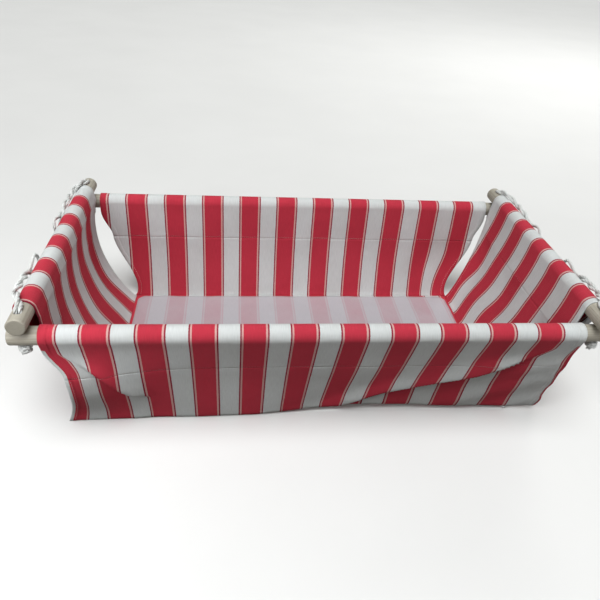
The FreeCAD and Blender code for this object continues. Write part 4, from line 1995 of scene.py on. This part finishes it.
@dataclass
class Studio:
    """Floor, lights and the camera at the photograph's angle."""

    floor_z: float = -0.2262
    floor_reach: float = 14.0
    floor_points: int = 9
    backdrop_radius: float = 13.0
    backdrop_height: float = 12.0
    backdrop_points: int = 65
    sun_power: float = 2.85
    sun_angle: float = math.radians(38)
    sun_colour: Colour = (0.975, 1.0, 1.0)
    sun_way: tuple = (0.04, 0.26, -1.0)
    air_colour: Colour = (1.0, 0.90, 0.80)
    air_strength: float = 0.10
    camera_place: tuple = (-0.1363, -0.9075, 0.5295)
    yaw: float = math.radians(-7.91)
    pitch: float = math.radians(32.51)
    roll: float = math.radians(4.65)
    sensor: float = 36.0
    focal_share: float = 580.5 / 600
    shift: tuple = (-0.0057, -0.0389)

    def build_floor(self, effects: SharedEffects) -> None:
        """A plain pale floor, wide enough to fill the view.

        Args:
            effects: The shared effects.
        """
        marks = np.linspace(-self.floor_reach, self.floor_reach, self.floor_points)
        x, y = np.meshgrid(marks, marks)
        points = np.stack((x, y, np.full(x.shape, self.floor_z)), axis=-1)
        floor = mesh_piece("floor", points, grid_faces(*x.shape))
        finish = Finish("pale_floor")
        mottle = finish.shared(effects.mottle, Place=finish.object_place(), Scale=3.0)
        pale = finish.nodes.ramp(mottle["Broad"], [(0.3, tone(219, 219, 218)), (0.7, tone(222, 222, 221))])
        finish.feed(Base_Color=pale, Roughness=0.95)
        floor.data.materials.append(finish.material)
        floor.visible_diffuse = False

    def build_backdrop(self) -> None:
        """A pale wall far off on every side, which lights nothing and shades nothing."""
        turn = np.linspace(0, math.tau, self.backdrop_points)
        circle = np.stack((np.cos(turn), np.sin(turn), 0 * turn), axis=-1)
        ring = self.backdrop_radius * circle + UP * self.floor_z
        points = np.concatenate((ring, ring + UP * self.backdrop_height))
        wall = mesh_piece("backdrop", points, grid_faces(2, self.backdrop_points))
        finish = Finish("pale_backdrop")
        finish.feed(Base_Color=opaque(grey(0.0)), Specular_IOR_Level=0.0)
        finish.feed(Emission_Color=opaque(tone(238, 238, 237)), Emission_Strength=1.0)
        wall.data.materials.append(finish.material)
        wall.visible_diffuse = wall.visible_glossy = wall.visible_shadow = False

    def build_lights(self) -> None:
        """A broad soft light from above and a little in front, and lamps at the left, right and back."""
        sun = bpy.data.lights.new("overhead", "SUN")
        sun.energy = self.sun_power
        sun.angle = self.sun_angle
        sun.color = self.sun_colour
        turn = Vector(self.sun_way).to_track_quat("-Z", "Y")
        put_in_scene("overhead", sun).rotation_euler = turn.to_euler()
        lamps = (
            Lamp("left_fill", (-0.8, -0.7, 0.42), 0.3, 21.0, (0.97, 0.98, 1.0)),
            Lamp("right_fill", (0.95, -0.75, 0.3), 0.3, 7.0, (0.97, 0.98, 1.0)),
            Lamp("back_fill", (2.0, 2.4, 1.7), 0.7, 84.0, (1.0, 0.99, 0.97)),
        )
        for lamp in lamps:
            lamp.build()
        world = bpy.data.worlds.new("studio_air")
        world.use_nodes = True
        air = world.node_tree.nodes["Background"].inputs
        air["Color"].default_value = opaque(self.air_colour)
        air["Strength"].default_value = self.air_strength
        bpy.context.scene.world = world

    def build_camera(self) -> None:
        """The camera, placed by the rails and stripes that the photograph shows."""
        up = Vector(UP)
        right = Vector((math.cos(self.yaw), math.sin(self.yaw), 0))
        level = Vector((-math.sin(self.yaw), math.cos(self.yaw), 0))
        ahead = level * math.cos(self.pitch) - up * math.sin(self.pitch)
        above = level * math.sin(self.pitch) + up * math.cos(self.pitch)
        turned = right * math.cos(self.roll) + above * math.sin(self.roll)
        raised = above * math.cos(self.roll) - right * math.sin(self.roll)
        lens = bpy.data.cameras.new("photo_angle")
        lens.sensor_width = self.sensor
        lens.lens = self.sensor * self.focal_share
        lens.shift_x, lens.shift_y = self.shift
        lens.clip_start, lens.clip_end = 0.01, 50.0
        camera = put_in_scene("photo_angle", lens)
        turn = Matrix((turned, raised, -ahead)).transposed().to_4x4()
        camera.matrix_world = Matrix.Translation(self.camera_place) @ turn
        bpy.context.scene.camera = camera

    def build(self, effects: SharedEffects) -> None:
        """Set up the whole studio.

        Args:
            effects: The shared effects.
        """
        self.build_floor(effects)
        self.build_backdrop()
        self.build_lights()
        self.build_camera()
        bpy.context.scene.view_settings.view_transform = "Standard"


def main() -> None:
    """Build the hammock's dress in order and note its size."""
    logging.basicConfig(level=logging.INFO, format="%(name)s: %(message)s")
    effects = SharedEffects()
    Studio().build(effects)
    rope = RopeFinish().material(effects)
    for corner in Corner:
        Sling(corner, rope, LaidRope()).build()
    RailFrame().dress(effects)
    Cradle().build(effects)


if __name__ == "__main__":
    main()
